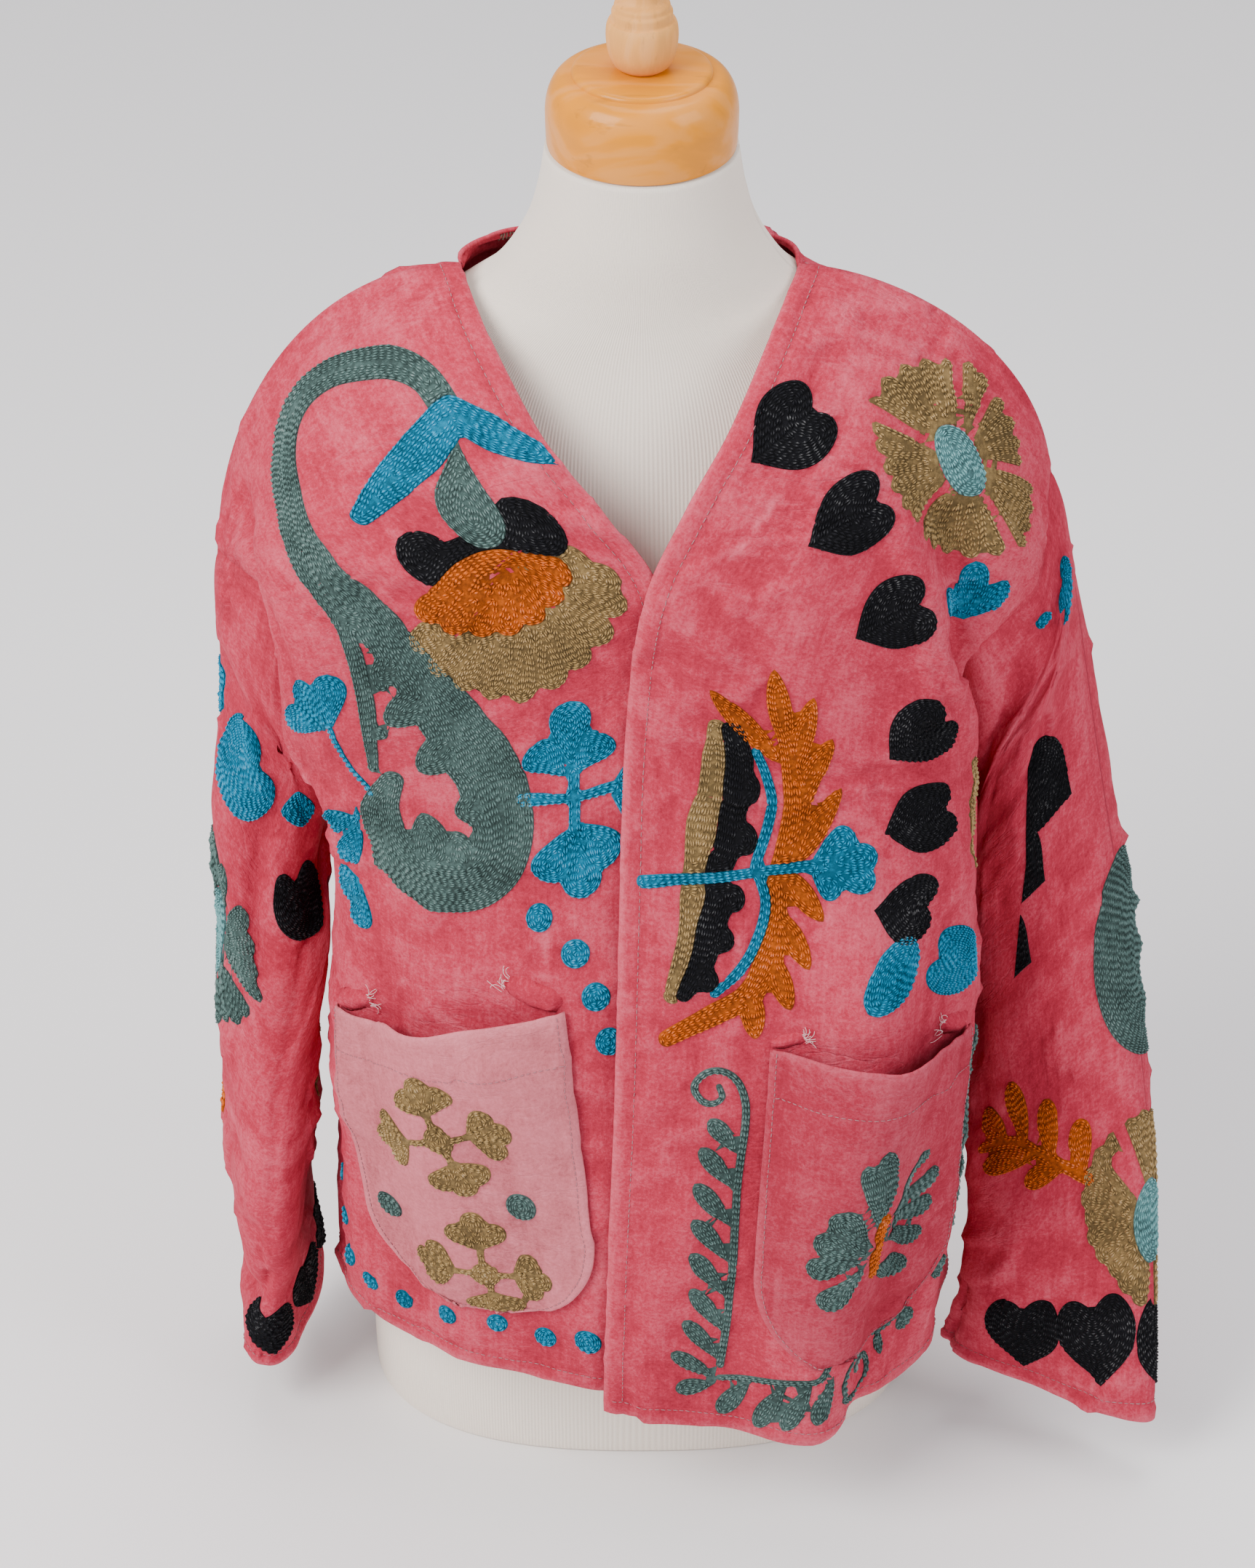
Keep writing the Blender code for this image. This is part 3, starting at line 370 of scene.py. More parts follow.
RIGHT_SLEEVE_CREASES = read_rows(Fold, FOLD_UNITS, [
    (20, 10, 42, 22, -32, 10), (16, 18, 40, 30, 26, 9), (14, 36, 38, 44, -22, 9),
    (10, 52, 34, 50, 20, 10), (16, 66, 40, 62, -24, 10), (18, 80, 44, 90, -26, 9),
    (20, 88, 40, 98, 24, 9), (58, 24, 82, 32, -26, 11), (60, 60, 84, 56, 22, 11),
    (66, 86, 68, 102, -20, 11),
])

# How far in from each edge its topstitching runs.
STITCH_INSET_EDGE = 0.0100
STITCH_INSET_HEM = 0.0090
STITCH_INSET_CUFF = 0.0085
STITCH_INSET_POCKET = 0.0045

# How long a topstitch is with its gap, how deep the pockets' mouths are hemmed, and how far the
# pockets' turned edges stand out.
TOPSTITCH = 0.0034
POCKET_HEM = 0.0270
POCKET_RIM = 0.0013


def smoothstep(x):
    """0 below 0, 1 above 1, and an even rise between: 3x^2 - 2x^3."""
    x = np.clip(x, 0.0, 1.0)
    return x * x * (3.0 - 2.0 * x)


def unit(vectors):
    """Vectors of length 1, along the last axis."""
    return vectors / np.maximum(np.linalg.norm(vectors, axis=-1, keepdims=True), 1e-12)


def bell(x, width):
    """A bell curve of height 1: e to the minus (x / width) squared."""
    return np.exp(-((x / width) ** 2))


def spline(table, share):
    """Rows of a table at shares from 0 to 1, on a Catmull-Rom curve through its rows."""
    rows = np.asarray(table, float)
    last = len(rows) - 1
    padded = np.vstack([2 * rows[0] - rows[1], rows, 2 * rows[-1] - rows[-2]])
    place = np.clip(np.asarray(share, float), 0.0, 1.0) * last
    cell = np.minimum(place.astype(int), last - 1)
    x = (place - cell)[..., None]
    before, start, end, after = (padded[cell + k] for k in range(4))
    return 0.5 * (
        2 * start
        + (end - before) * x
        + (2 * before - 5 * start + 4 * end - after) * x**2
        + (3 * start - before - 3 * end + after) * x**3
    )


def side_line(table, share):
    """The last columns of a table with a corner at the underarm, where three pieces meet."""
    corner = UNDERARM_ROW / (len(table) - 1)
    below = spline(table[: UNDERARM_ROW + 1], share / corner)
    above = spline(table[UNDERARM_ROW:], (share - corner) / (1.0 - corner))
    return np.where((share < corner)[:, None], below, above)


def bezier(start, pull, turn, end, share):
    """Cubic curves from start to end, with the weights (1-x)^3, 3x(1-x)^2, 3x^2(1-x) and x^3."""
    x = np.asarray(share, float)[None, :, None]
    corners = [np.asarray(c, float)[:, None, :] for c in (start, pull, turn, end)]
    weights = ((1 - x) ** 3, 3 * x * (1 - x) ** 2, 3 * x**2 * (1 - x), x**3)
    return sum(w * c for w, c in zip(weights, corners))


def grid_normals(points, outward, round_piece=False):
    """Unit normals of a grid: the cross product of its two slopes, turned to agree with outward."""
    if round_piece:
        wrapped = np.concatenate([points[:, -2:-1], points, points[:, 1:2]], axis=1)
        along_row = np.gradient(wrapped, axis=1)[:, 1:-1]
    else:
        along_row = np.gradient(points, axis=1)
    normals = unit(np.cross(along_row, np.gradient(points, axis=0)))
    return normals * np.sign((normals * outward).sum(axis=-1, keepdims=True).mean())


def fold_heights(folds, across, up, width, length):
    """How far soft folds lift each point of a piece that is width by length when laid flat.

    Each fold is a bell curve of the distance from its line, fading out at both ends.
    """
    lift = np.zeros(np.broadcast(across, up).shape)
    for fold in folds:
        start = np.array([fold.across * width, fold.up * length])
        run = np.array([fold.to_across * width, fold.to_up * length]) - start
        x = across * width - start[0]
        y = up * length - start[1]
        along = (x * run[0] + y * run[1]) / (run @ run)
        off = (x * run[1] - y * run[0]) / np.linalg.norm(run)
        fade = smoothstep((along + 0.12) / 0.3) * smoothstep((1.12 - along) / 0.3)
        lift += fold.height * fade * bell(off, fold.width)
    return lift


def ripple(across, up, seed, wave):
    """An even unevenness about as high as 1, from twelve sine waves near one wavelength in metres."""
    random = np.random.default_rng(seed)
    total = np.zeros(np.broadcast(across, up).shape)
    for _ in range(12):
        turn, phase = random.uniform(0.0, 2.0 * math.pi, 2)
        rate = 2.0 * math.pi / (wave * random.uniform(0.7, 1.5))
        total += np.sin(rate * (across * math.cos(turn) + up * math.sin(turn)) + phase)
    return total / 5.0


def form_radius(points):
    """How far points stand from the form's axis, where 1 is on the form's surface."""
    rows = spline(FORM, np.linspace(0.0, 1.0, FORM_ROWS + 1))
    level = FormLevel(*(np.interp(points[..., 2], rows[:, 0], column) for column in rows.T))
    depth = np.where(points[..., 1] < 0, level.front, level.back)
    power = 2.0 / level.roundness
    x = abs(points[..., 0] / level.half_width) ** power
    y = abs(points[..., 1] / depth) ** power
    return (x + y) ** (1.0 / power)


def rest_on_form(points):
    """Points moved out, where they need it, so that the cloth rests on the form and not in it."""
    clear = CLOTH + REST_GAP
    small = 1e-4
    for _ in range(4):
        radius = form_radius(points)
        slope = np.stack(
            [(form_radius(points + step) - radius) / small for step in np.eye(3) * small], -1
        )
        steep = np.maximum(np.linalg.norm(slope, axis=-1), 1e-6)
        short = np.clip(clear - (radius - 1.0) / steep, 0.0, 0.01)
        points = points + slope / steep[..., None] * short[..., None]
    return points


def front_grid(table, folds, cells_across, rows_up):
    """Outer points of a front: rows from hem to shoulder, columns from the edge to the side.

    Each row is a cubic curve from the front edge to the side line, lifted by the folds.
    """
    up = np.linspace(0.0, 1.0, rows_up + 1)
    across = np.linspace(0.0, 1.0, cells_across + 1)
    c = Front(*spline(table, up).T)
    edge = np.stack([c.edge_x, c.edge_y, c.edge_z], -1)
    corner = Front(*side_line(table, up).T)
    side = np.stack([corner.side_x, corner.side_y, corner.side_z], -1)
    step = (side[:, 2] - c.edge_z) / 3.0
    pull = edge + np.stack([c.pull_x, c.pull_y, step + c.rise], -1)
    turn = side + np.stack([c.turn_x, c.turn_y, c.rise - step], -1)
    points = bezier(edge, pull, turn, side, across)
    normals = grid_normals(points, np.array([0.0, -1.0, 0.4]))
    width = np.linalg.norm(np.diff(points[len(up) // 3], axis=0), axis=1).sum()
    length = np.linalg.norm(np.diff(points[:, 0], axis=0), axis=1).sum()
    lift = fold_heights(folds, across[None, :], up[:, None], width, length)
    held = smoothstep((1.0 - across) / 0.10)[None, :] * smoothstep((1.0 - up) / 0.10)[:, None]
    return rest_on_form(points + normals * (lift * held)[..., None])


def back_grid(rows_up, left_top, right_top):
    """Outer points of the back: rows from hem to neck, columns from the right side to the left.

    Each row is two cubic curves from the middle to the sides. The top row follows the fronts'
    shoulder rows outside the neck, and the rows below ease into it.
    """
    up = np.linspace(0.0, 1.0, rows_up + 1)
    neck_cells = NECK_CELLS * (len(left_top) - 1) // FRONT_CELLS
    across = np.concatenate([np.linspace(0.0, NECK_SHARE, neck_cells + 1),
        np.linspace(NECK_SHARE, 1.0, len(left_top))[1:]])
    c = Back(*spline(BACK, up).T)
    centre = np.stack([np.zeros_like(up), c.centre_y, c.centre_z], -1)
    halves = []
    corner = Back(*side_line(BACK, up).T)
    for table, top, side_y, side_z, sign in (
        (RIGHT_FRONT, right_top, corner.right_y, corner.right_z, -1.0),
        (LEFT_FRONT, left_top, corner.left_y, corner.left_z, 1.0),
    ):
        side = np.stack([Front(*side_line(table, up).T).side_x, side_y, side_z], -1)
        step = (side_z - c.centre_z) / 3.0
        pull = centre + np.stack([sign * c.pull, 0 * up, step + c.rise], -1)
        turn = side + np.stack([sign * c.turn_x, c.turn_y, c.rise - step], -1)
        points = bezier(centre, pull, turn, side, across)
        neck_point = top[0]
        neck_end = neck_point[None] + [[sign * 0.004, 0.036, 0.001]]
        neck = bezier(centre[-1:], centre[-1:] + [[sign * 0.052, 0.0, 0.0]], neck_end,
            neck_point[None], np.linspace(0.0, 1.0, neck_cells + 1))[0]
        top_row = np.vstack([neck, top[1:]])
        blend = smoothstep((up - NECK_BLEND_FROM) / (1.0 - NECK_BLEND_FROM)) ** 2
        halves.append(points + blend[:, None, None] * (top_row - points[-1])[None])
    points = np.concatenate([halves[0][:, ::-1], halves[1][:, 1:]], axis=1)
    across = np.concatenate([-across[::-1], across[1:]])
    normals = grid_normals(points, np.array([0.0, 1.0, 0.0]))
    lift = fold_heights(BACK_FOLDS + BACK_CREASES, across[None, :], up[:, None], 0.25, 0.62)
    held = smoothstep((1.0 - abs(across)) / 0.08)[None, :] * smoothstep((1.0 - up) / 0.12)[:, None]
    return rest_on_form(points + normals * (lift * held)[..., None])


def sleeve_grid(table, armhole, rows_along, folds, sign):
    """Outer points of a sleeve: rows from armhole to cuff, columns round it from the shoulder tip.

    armhole is the closed loop of the body's edge, front half first. Each later ring is an ellipse
    between its outer and inner ends, and the first part of the sleeve eases from one to the other.
    """
    angle = np.linspace(0.0, 2.0 * math.pi, len(armhole))
    tip = armhole[0]
    under = armhole[len(armhole) // 2]
    first = Ring(*tip, *under, table[0].half_depth, 0.0)
    along = np.linspace(0.0, 1.0, rows_along + 1)
    c = Ring(*spline([first, *table], along).T)
    outer = np.stack([c.outer_x, c.outer_y, c.outer_z], -1)
    inner = np.stack([c.inner_x, c.inner_y, c.inner_z], -1)
    middle = (outer + inner) / 2.0
    reach = (outer - inner) / 2.0
    run = np.gradient(middle, axis=0)
    depth = unit(np.cross(reach, run)) * c.half_depth[:, None]
    forward = depth @ np.array([sign * 0.3, -1.0, 0.0])
    front = depth * np.where(forward < 0, -1.0, 1.0)[:, None]
    bulge = 1.0 + c.square[:, None] * 0.22 * np.sin(2.0 * angle)[None, :] ** 2
    ring = (
        middle[:, None]
        + reach[:, None] * (np.cos(angle) * bulge)[..., None]
        + front[:, None] * (np.sin(angle) * bulge)[..., None]
    )
    carried = armhole[None] + (middle - middle[0])[:, None]
    keep = (1.0 - smoothstep(along / SLEEVE_BLEND))[:, None, None]
    points = ring * (1.0 - keep) + carried * keep
    outward = points - points.mean(axis=1, keepdims=True)
    normals = grid_normals(points, outward, True)
    length = np.linalg.norm(np.diff(middle, axis=0), axis=1).sum()
    girth = np.linalg.norm(np.diff(points[rows_along // 2], axis=0), axis=1).sum()
    lift = fold_heights(folds, (angle / (2.0 * math.pi))[None, :], along[:, None], girth, length)
    held = smoothstep(along / 0.10)[:, None]
    points = points + normals * (lift * held)[..., None]
    points[:, -1] = points[:, 0]
    return points


class Panel:
    """A grid of outer points with its normals, which can also be read in metres as if laid flat."""

    def __init__(self, points, facing, round_piece=False, centred=False):
        self.points = points
        self.facing = facing
        self.round_piece = round_piece
        self.centred = centred
        self.measure()

    def measure(self):
        """Works out the normals, each point's metres across its row and each row's metres up.

        Across counts from the first column, or from the middle one on a centred panel. turn is 1 if
        across, up and out make a right-handed set, and -1 if they don't.
        """
        points = self.points
        self.normals = grid_normals(points, self.facing, self.round_piece)
        along = np.cross(np.gradient(points, axis=1), np.gradient(points, axis=0))
        self.turn = np.sign((along * self.normals).sum(axis=-1).mean())
        rise = np.linalg.norm(np.diff(points, axis=0), axis=2).mean(axis=1)
        self.heights = np.concatenate([[0.0], np.cumsum(rise)])
        run = np.linalg.norm(np.diff(points, axis=1), axis=2)
        self.widths = np.concatenate([np.zeros((len(points), 1)), np.cumsum(run, axis=1)], axis=1)
        if self.centred:
            self.widths -= self.widths[:, self.widths.shape[1] // 2, None]

    def lift(self, height):
        """Moves each point out along its normal by its own height; the metres stay as cut."""
        self.points = self.points + self.normals * height[..., None]
        self.normals = grid_normals(self.points, self.facing, self.round_piece)

    def at(self, across, up):
        """Points and normals at metres across and metres up, as measured.

        The grid is read by straight lines between its columns and between its rows, and a place
        beyond a round piece's girth goes on round it.
        """
        rows, columns = self.points.shape[:2]
        row = np.interp(up, self.heights, np.arange(rows))
        low = np.minimum(row.astype(int), rows - 2)
        mix = row - low
        if self.round_piece:
            across = across % np.interp(up, self.heights, self.widths[:, -1])
        column = np.zeros(across.shape)
        for level, share in ((low, 1.0 - mix), (low + 1, mix)):
            for index in np.unique(level):
                chosen = level == index
                column[chosen] += share[chosen] * np.interp(across[chosen], self.widths[index],
                    np.arange(columns))
        left = np.minimum(column.astype(int), columns - 2)
        side = (column - left)[..., None]
        mix = mix[..., None]
        place, normal = (
            (grid[low, left] * (1 - side) + grid[low, left + 1] * side) * (1 - mix)
            + (grid[low + 1, left] * (1 - side) + grid[low + 1, left + 1] * side) * mix
            for grid in (self.points, self.normals)
        )
        return place, unit(normal)


def share_seam(panel_a, edge_a, panel_b, edge_b, part_valleys=False):
    """Gives two edges that meet in a seam the same normals, and parts them by the seam's gap.

    An edge is a pair of index arrays for the edge itself, and another pair for its neighbours within.
    """
    sides = ((panel_a, *edge_a), (panel_b, *edge_b))
    inwards = [unit(panel.points[within] - panel.points[edge]) for panel, edge, within in sides]
    normal = unit(sum(panel.normals[edge] for panel, edge, _ in sides))
    valley = part_valleys * (normal * sum(inwards)).sum(-1, keepdims=True) > 0.0
    for (panel, edge, _), inward in zip(sides, inwards):
        inward = inward - normal * (inward * normal).sum(-1, keepdims=True)
        panel.points[edge] = panel.points[edge] + unit(inward) * SEAM_GAP / 2.0
        panel.normals[edge] = np.where(valley, panel.normals[edge], normal)


def share_corner(*corners):
    """Gives corners that meet at one point the same normal, and parts them by the seam's gap."""
    normal = unit(sum(panel.normals[corner] for panel, corner, _ in corners))
    meeting = sum(panel.points[corner] for panel, corner, _ in corners) / len(corners)
    for panel, corner, within in corners:
        inward = panel.points[within] - meeting
        inward -= normal * (inward * normal).sum(-1, keepdims=True)
        panel.points[corner] = meeting + unit(inward) * SEAM_GAP * 0.7
        panel.normals[corner] = normal


def pocket_grid(front, pocket):
    """Inner points of a patch pocket on a front, rows from its foot to its mouth.

    Its foot has round corners, so each row is as wide as the outline there. It lies on the front
    at its sewn edges, and its middle and mouth stand away by a sine of the share across.
    """
    share = np.linspace(0.0, 1.0, POCKET_FINE + 1)
    height = pocket.height * (0.35 * share**2 + 0.65 * share)
    rise = np.minimum(height, pocket.corner)
    inset = pocket.corner - np.sqrt(pocket.corner**2 - (pocket.corner - rise) ** 2)
    half = pocket.width / 2.0 - inset * 0.98
    centre = pocket.from_edge + pocket.lean * height / pocket.height
    across = centre[:, None] + half[:, None] * (2.0 * share - 1.0)[None, :]
    middle = np.sin(math.pi * share) ** 0.7
    drawn = pocket.tilt * (share - 0.5) + pocket.bow / pocket.height * middle
    up = pocket.above_hem + height[:, None] * (1.0 + drawn[None, :])
    places, normals = front.at(across, up)
    stand = POCKET_GAPE * middle[None, :] * smoothstep(height / pocket.height * 1.1)[:, None] ** 1.5
    uneven = ripple(across, up, 41, 0.06) * 0.0008 * (middle[None, :] * share[:, None])
    return places + normals * (POCKET_CLEAR + stand + uneven)[..., None]


def edge_relief(distance, inset):
    """Height of a stitched edge: a soft roll out to the stitch line, and a groove along it."""
    roll = smoothstep(distance / 0.003) * smoothstep((inset + 0.001 - distance) / 0.004)
    return 0.0007 * roll - 0.0009 * bell(distance - inset, 0.0016)


def seam_relief(distance):
    """Height beside a plain seam: the cloth dips into it over about 4 mm."""
    return -0.0012 * bell(distance, 0.0035)


def jacket_panels():
    """Every cloth panel by name, with its folds, its creases, its seams and its stitched edges."""
    under = FINE_ROWS * UNDERARM_ROW // (len(LEFT_FRONT) - 1)
    forward = np.array([0.0, -1.0, 0.4])
    left = Panel(
        front_grid(LEFT_FRONT, LEFT_FRONT_FOLDS + LEFT_FRONT_CREASES, FINE_CELLS, FINE_ROWS),
        forward,
    )
    right = Panel(
        front_grid(RIGHT_FRONT, RIGHT_FRONT_FOLDS + RIGHT_FRONT_CREASES, FINE_CELLS, FINE_ROWS),
        forward,
    )
    back_points = back_grid(FINE_ROWS, left.points[-1], right.points[-1])
    back = Panel(back_points, -forward, centred=True)

    def armhole(front, column):
        return np.vstack([front.points[under:, -1][::-1], back.points[under + 1 :, column]])

    sleeves = {}
    for name, table, folds, front, column, sign in (
        ("sleeve_left", LEFT_SLEEVE, LEFT_SLEEVE_FOLDS + LEFT_SLEEVE_CREASES, left, -1, 1.0),
        ("sleeve_right", RIGHT_SLEEVE, RIGHT_SLEEVE_FOLDS + RIGHT_SLEEVE_CREASES, right, 0, -1.0),
    ):
        points = sleeve_grid(table, armhole(front, column), SLEEVE_ROWS, folds, sign)
        sleeves[name] = Panel(points, points - points.mean(axis=1, keepdims=True), True)

    for panel, seed in ((left, 3), (right, 5), (back, 7), (sleeves["sleeve_left"], 11),
            (sleeves["sleeve_right"], 13)):
        relieve(panel, seed)

    last = FINE_ROWS
    side_rows, arm_rows = np.arange(under + 1), np.arange(under, last + 1)
    half = len(arm_rows) - 1
    front_half, back_half = np.arange(half, -1, -1), np.arange(half, 2 * half + 1)
    shoulder = np.arange(FINE_CELLS + 1)
    back_last = back.points.shape[1] - 1
    for name, front, edge, inward, top in (
        ("sleeve_left", left, back_last, -1, back_last - FINE_CELLS + shoulder),
        ("sleeve_right", right, 0, 1, FINE_CELLS - shoulder),
    ):
        sleeve = sleeves[name]

        def front_side(row):
            return (row, FINE_CELLS), (row, FINE_CELLS - 1)

        def back_side(row):
            return (row, edge), (row, edge + inward)

        share_seam(front, front_side(side_rows), back, back_side(side_rows))
        share_seam(front, ((last, shoulder), (last - 1, shoulder)), back, ((last, top), (last - 1, top)))
        share_seam(front, front_side(arm_rows), sleeve, ((0, front_half), (1, front_half)), True)
        share_seam(back, back_side(arm_rows), sleeve, ((0, back_half), (1, back_half)), True)
        for row, column in ((under, half), (last, 0)):
            share_corner((front, *front_side(row)), (back, *back_side(row)),
                (sleeve, (0, column), (1, column)))
        sleeve.points[:, -1] = sleeve.points[:, 0]
        sleeve.normals[:, -1] = sleeve.normals[:, 0]

    panels = {"front_left": left, "front_right": right, "back": back, **sleeves}
    for name, front, pocket in (("pocket_left", left, LEFT_POCKET),
            ("pocket_right", right, RIGHT_POCKET)):
        panel = Panel(pocket_grid(front, pocket), forward, centred=True)
        across, up = panel.widths, panel.heights[:, None] + 0.0 * panel.widths
        first, last = across - across[:, :1], across[:, -1:] - across
        rim = np.minimum.reduce([first, last, up])
        band_line = panel.heights[-1] - up - POCKET_HEM
        height = CLOTH + POCKET_RIM * bell(rim - 0.0026, 0.0026) - 0.0008 * bell(band_line, 0.0018)
        height = height + 0.0010 * wrinkles(across, up, 90 + len(panels), 0.045) * smoothstep(rim / 0.01)
        panel.lift(height)
        panels[name] = panel
    return panels


def wrinkles(across, up, seed, wave):
    """Scattered narrow ridges and shallow dips: a power of how near a wavy field is to 0.

    The field is longer across than up, and a second one leaves parts of the cloth smooth.
    """
    field = ripple(across * 0.45 + up * 0.15, up, seed, wave)
    ridge = (1.0 - np.clip(abs(field) * 1.4, 0.0, 1.0)) ** 2
    sign = np.where(ripple(across, up, seed + 1, wave * 3.0) < 0.0, -0.3, 1.0)
    return ridge * smoothstep(ripple(across, up, seed + 2, wave * 4.0) + 0.6) * sign


# One row is one layer of a panel's unevenness: its field, what its seed adds, wavelength and height.
UNEVENNESS = (
    (ripple, 0, 0.11, 0.0012), (ripple, 1, 0.045, 0.0006),
    (wrinkles, 30, 0.05, 0.0034), (wrinkles, 60, 0.026, 0.0019),
)


def relieve(panel, seed):
    """Gives a panel its even unevenness, its seams' dips and its stitched edges' relief.

    The seams themselves stay where they are, so that neighbouring pieces still meet.
    """
    up = np.broadcast_to(panel.heights[:, None], panel.widths.shape)
    top = panel.heights[-1] - up
    across = panel.widths - panel.widths[:, :1]
    girth = across[:, -1:]
    wide = 0.0
    for field, later, wave, height in UNEVENNESS:
        wide = wide + field(across, up, seed + later, wave) * height
    if panel.round_piece:
        wrap = smoothstep(across / 0.02) * smoothstep((girth - across) / 0.02)
        height = wide * wrap + seam_relief(up) + edge_relief(top, STITCH_INSET_CUFF)
        held = smoothstep(up / 0.004)
        seam = np.minimum(across - 0.5 * girth, 0.5 * girth - across)
        height = height + 0.6 * seam_relief(seam)
    elif len(across[0]) > FINE_CELLS + 1:
        side = np.minimum(across, girth - across)
        neck = np.arange(across.shape[1])
        middle = abs(neck - across.shape[1] // 2) <= NECK_CELLS * FINE_CELLS // FRONT_CELLS
        height = wide + seam_relief(side) + edge_relief(up, STITCH_INSET_HEM)
        height = height + np.where(middle, edge_relief(top, STITCH_INSET_EDGE), seam_relief(top))
        held = smoothstep(side / 0.004) * np.where(middle, 1.0, smoothstep(top / 0.004))
    else:
        side = girth - across
        edge = edge_relief(across, STITCH_INSET_EDGE) + edge_relief(up, STITCH_INSET_HEM)
        height = wide + edge + seam_relief(side) + seam_relief(top)
        held = smoothstep(side / 0.004) * smoothstep(top / 0.004)
    panel.lift(height * held)
    if panel.round_piece:
        panel.points[:, -1] = panel.points[:, 0]


PANELS = jacket_panels()


class Heap:
    """Vertices, faces and their UV places gathered from many small closed shapes of one piece."""

    def __init__(self):
        self.vertices = []
        self.faces = []
        self.places = []
        self.rises = []
        self.count = 0

    def add(self, vertices, places, rises, *groups):
        """Adds a mesh: its vertices, their places in metres on the panel, and arrays of faces.

        A rise is how high a vertex stands in its own shape, from 0 to 1; the wool is painted darker, as shade, where
        it is low.
        """
        self.vertices.append(vertices.reshape(-1, 3))
        self.faces += [group.reshape(-1, group.shape[-1]) + self.count for group in groups]
        self.places.append(places.reshape(-1, 2))
        self.rises.append(rises)
        self.count += len(self.vertices[-1])

    def build(self, name, material):
        """The gathered shapes as one object."""
        vertices = np.concatenate(self.vertices)
        places = np.concatenate(self.places)
        rises = {"rise": np.concatenate(self.rises)}
        return add_mesh(name, vertices, self.faces, material, places, rises)


def add_mesh(name, vertices, face_groups, material, places=None, numbers=None, sharp=None):
    """A smooth object from vertices and arrays of triangles or quads, written in whole arrays.

    places gives each vertex its UV place, and numbers its value of named attributes.
    """
    counts = np.concatenate([np.full(len(group), group.shape[1]) for group in face_groups])
    corners = np.concatenate([group.ravel() for group in face_groups]).astype(np.int32)
    mesh = bpy.data.meshes.new(name)
    mesh.vertices.add(len(vertices))
    mesh.vertices.foreach_set("co", np.asarray(vertices, np.float32).ravel())
    mesh.loops.add(len(corners))
    mesh.loops.foreach_set("vertex_index", corners)
    mesh.polygons.add(len(counts))
    starts = np.concatenate([[0], np.cumsum(counts)[:-1]])
    mesh.polygons.foreach_set("loop_start", starts.astype(np.int32))
    mesh.update(calc_edges=True)
    mesh.validate()
    mesh.shade_smooth()
    if sharp is not None:
        mesh.set_sharp_from_angle(angle=math.radians(sharp))
    if places is not None:
        layer = mesh.uv_layers.new(name="UVMap")
        index = np.empty(len(mesh.loops), np.int32)
        mesh.loops.foreach_get("vertex_index", index)
        layer.data.foreach_set("uv", np.asarray(places, np.float32)[index].ravel())
    for title, values in (numbers or {}).items():
        attribute = mesh.attributes.new(title, "FLOAT", "POINT")
        attribute.data.foreach_set("value", np.asarray(values, np.float32).ravel())
    mesh.materials.append(material)
    made = bpy.data.objects.new(name, mesh)
    bpy.context.scene.collection.objects.link(made)
    return made


def grid_faces(rows, columns, wrap=False, shift=0, flip=False):
    """Quads between neighbours of a grid that is stored row by row, wrapped across if asked."""
    i, j = np.meshgrid(np.arange(rows - 1), np.arange(columns if wrap else columns - 1), indexing="ij")
    k = (j + 1) % columns
    quads = np.stack([i * columns + j, i * columns + k, (i + 1) * columns + k, (i + 1) * columns + j], -1)
    quads = quads.reshape(-1, 4) + shift
    return quads[:, ::-1] if flip else quads


def strip_faces(first, second, closed=True):
    """Quads between two equal rows of vertex numbers."""
    next_first, next_second = np.roll(first, -1), np.roll(second, -1)
    quads = np.stack([first, next_first, next_second, second], -1)
    return quads if closed else quads[:-1]


def outward(vertices, face_groups):
    """Face groups of a closed mesh, all reversed if the volume that they enclose is negative."""
    volume = 0.0
    for group in face_groups:
        for k in range(1, group.shape[1] - 1):
            a, b, c = vertices[group[:, 0]], vertices[group[:, k]], vertices[group[:, k + 1]]
            volume += (a * np.cross(b, c)).sum()
    return face_groups if volume > 0 else [group[:, ::-1] for group in face_groups]


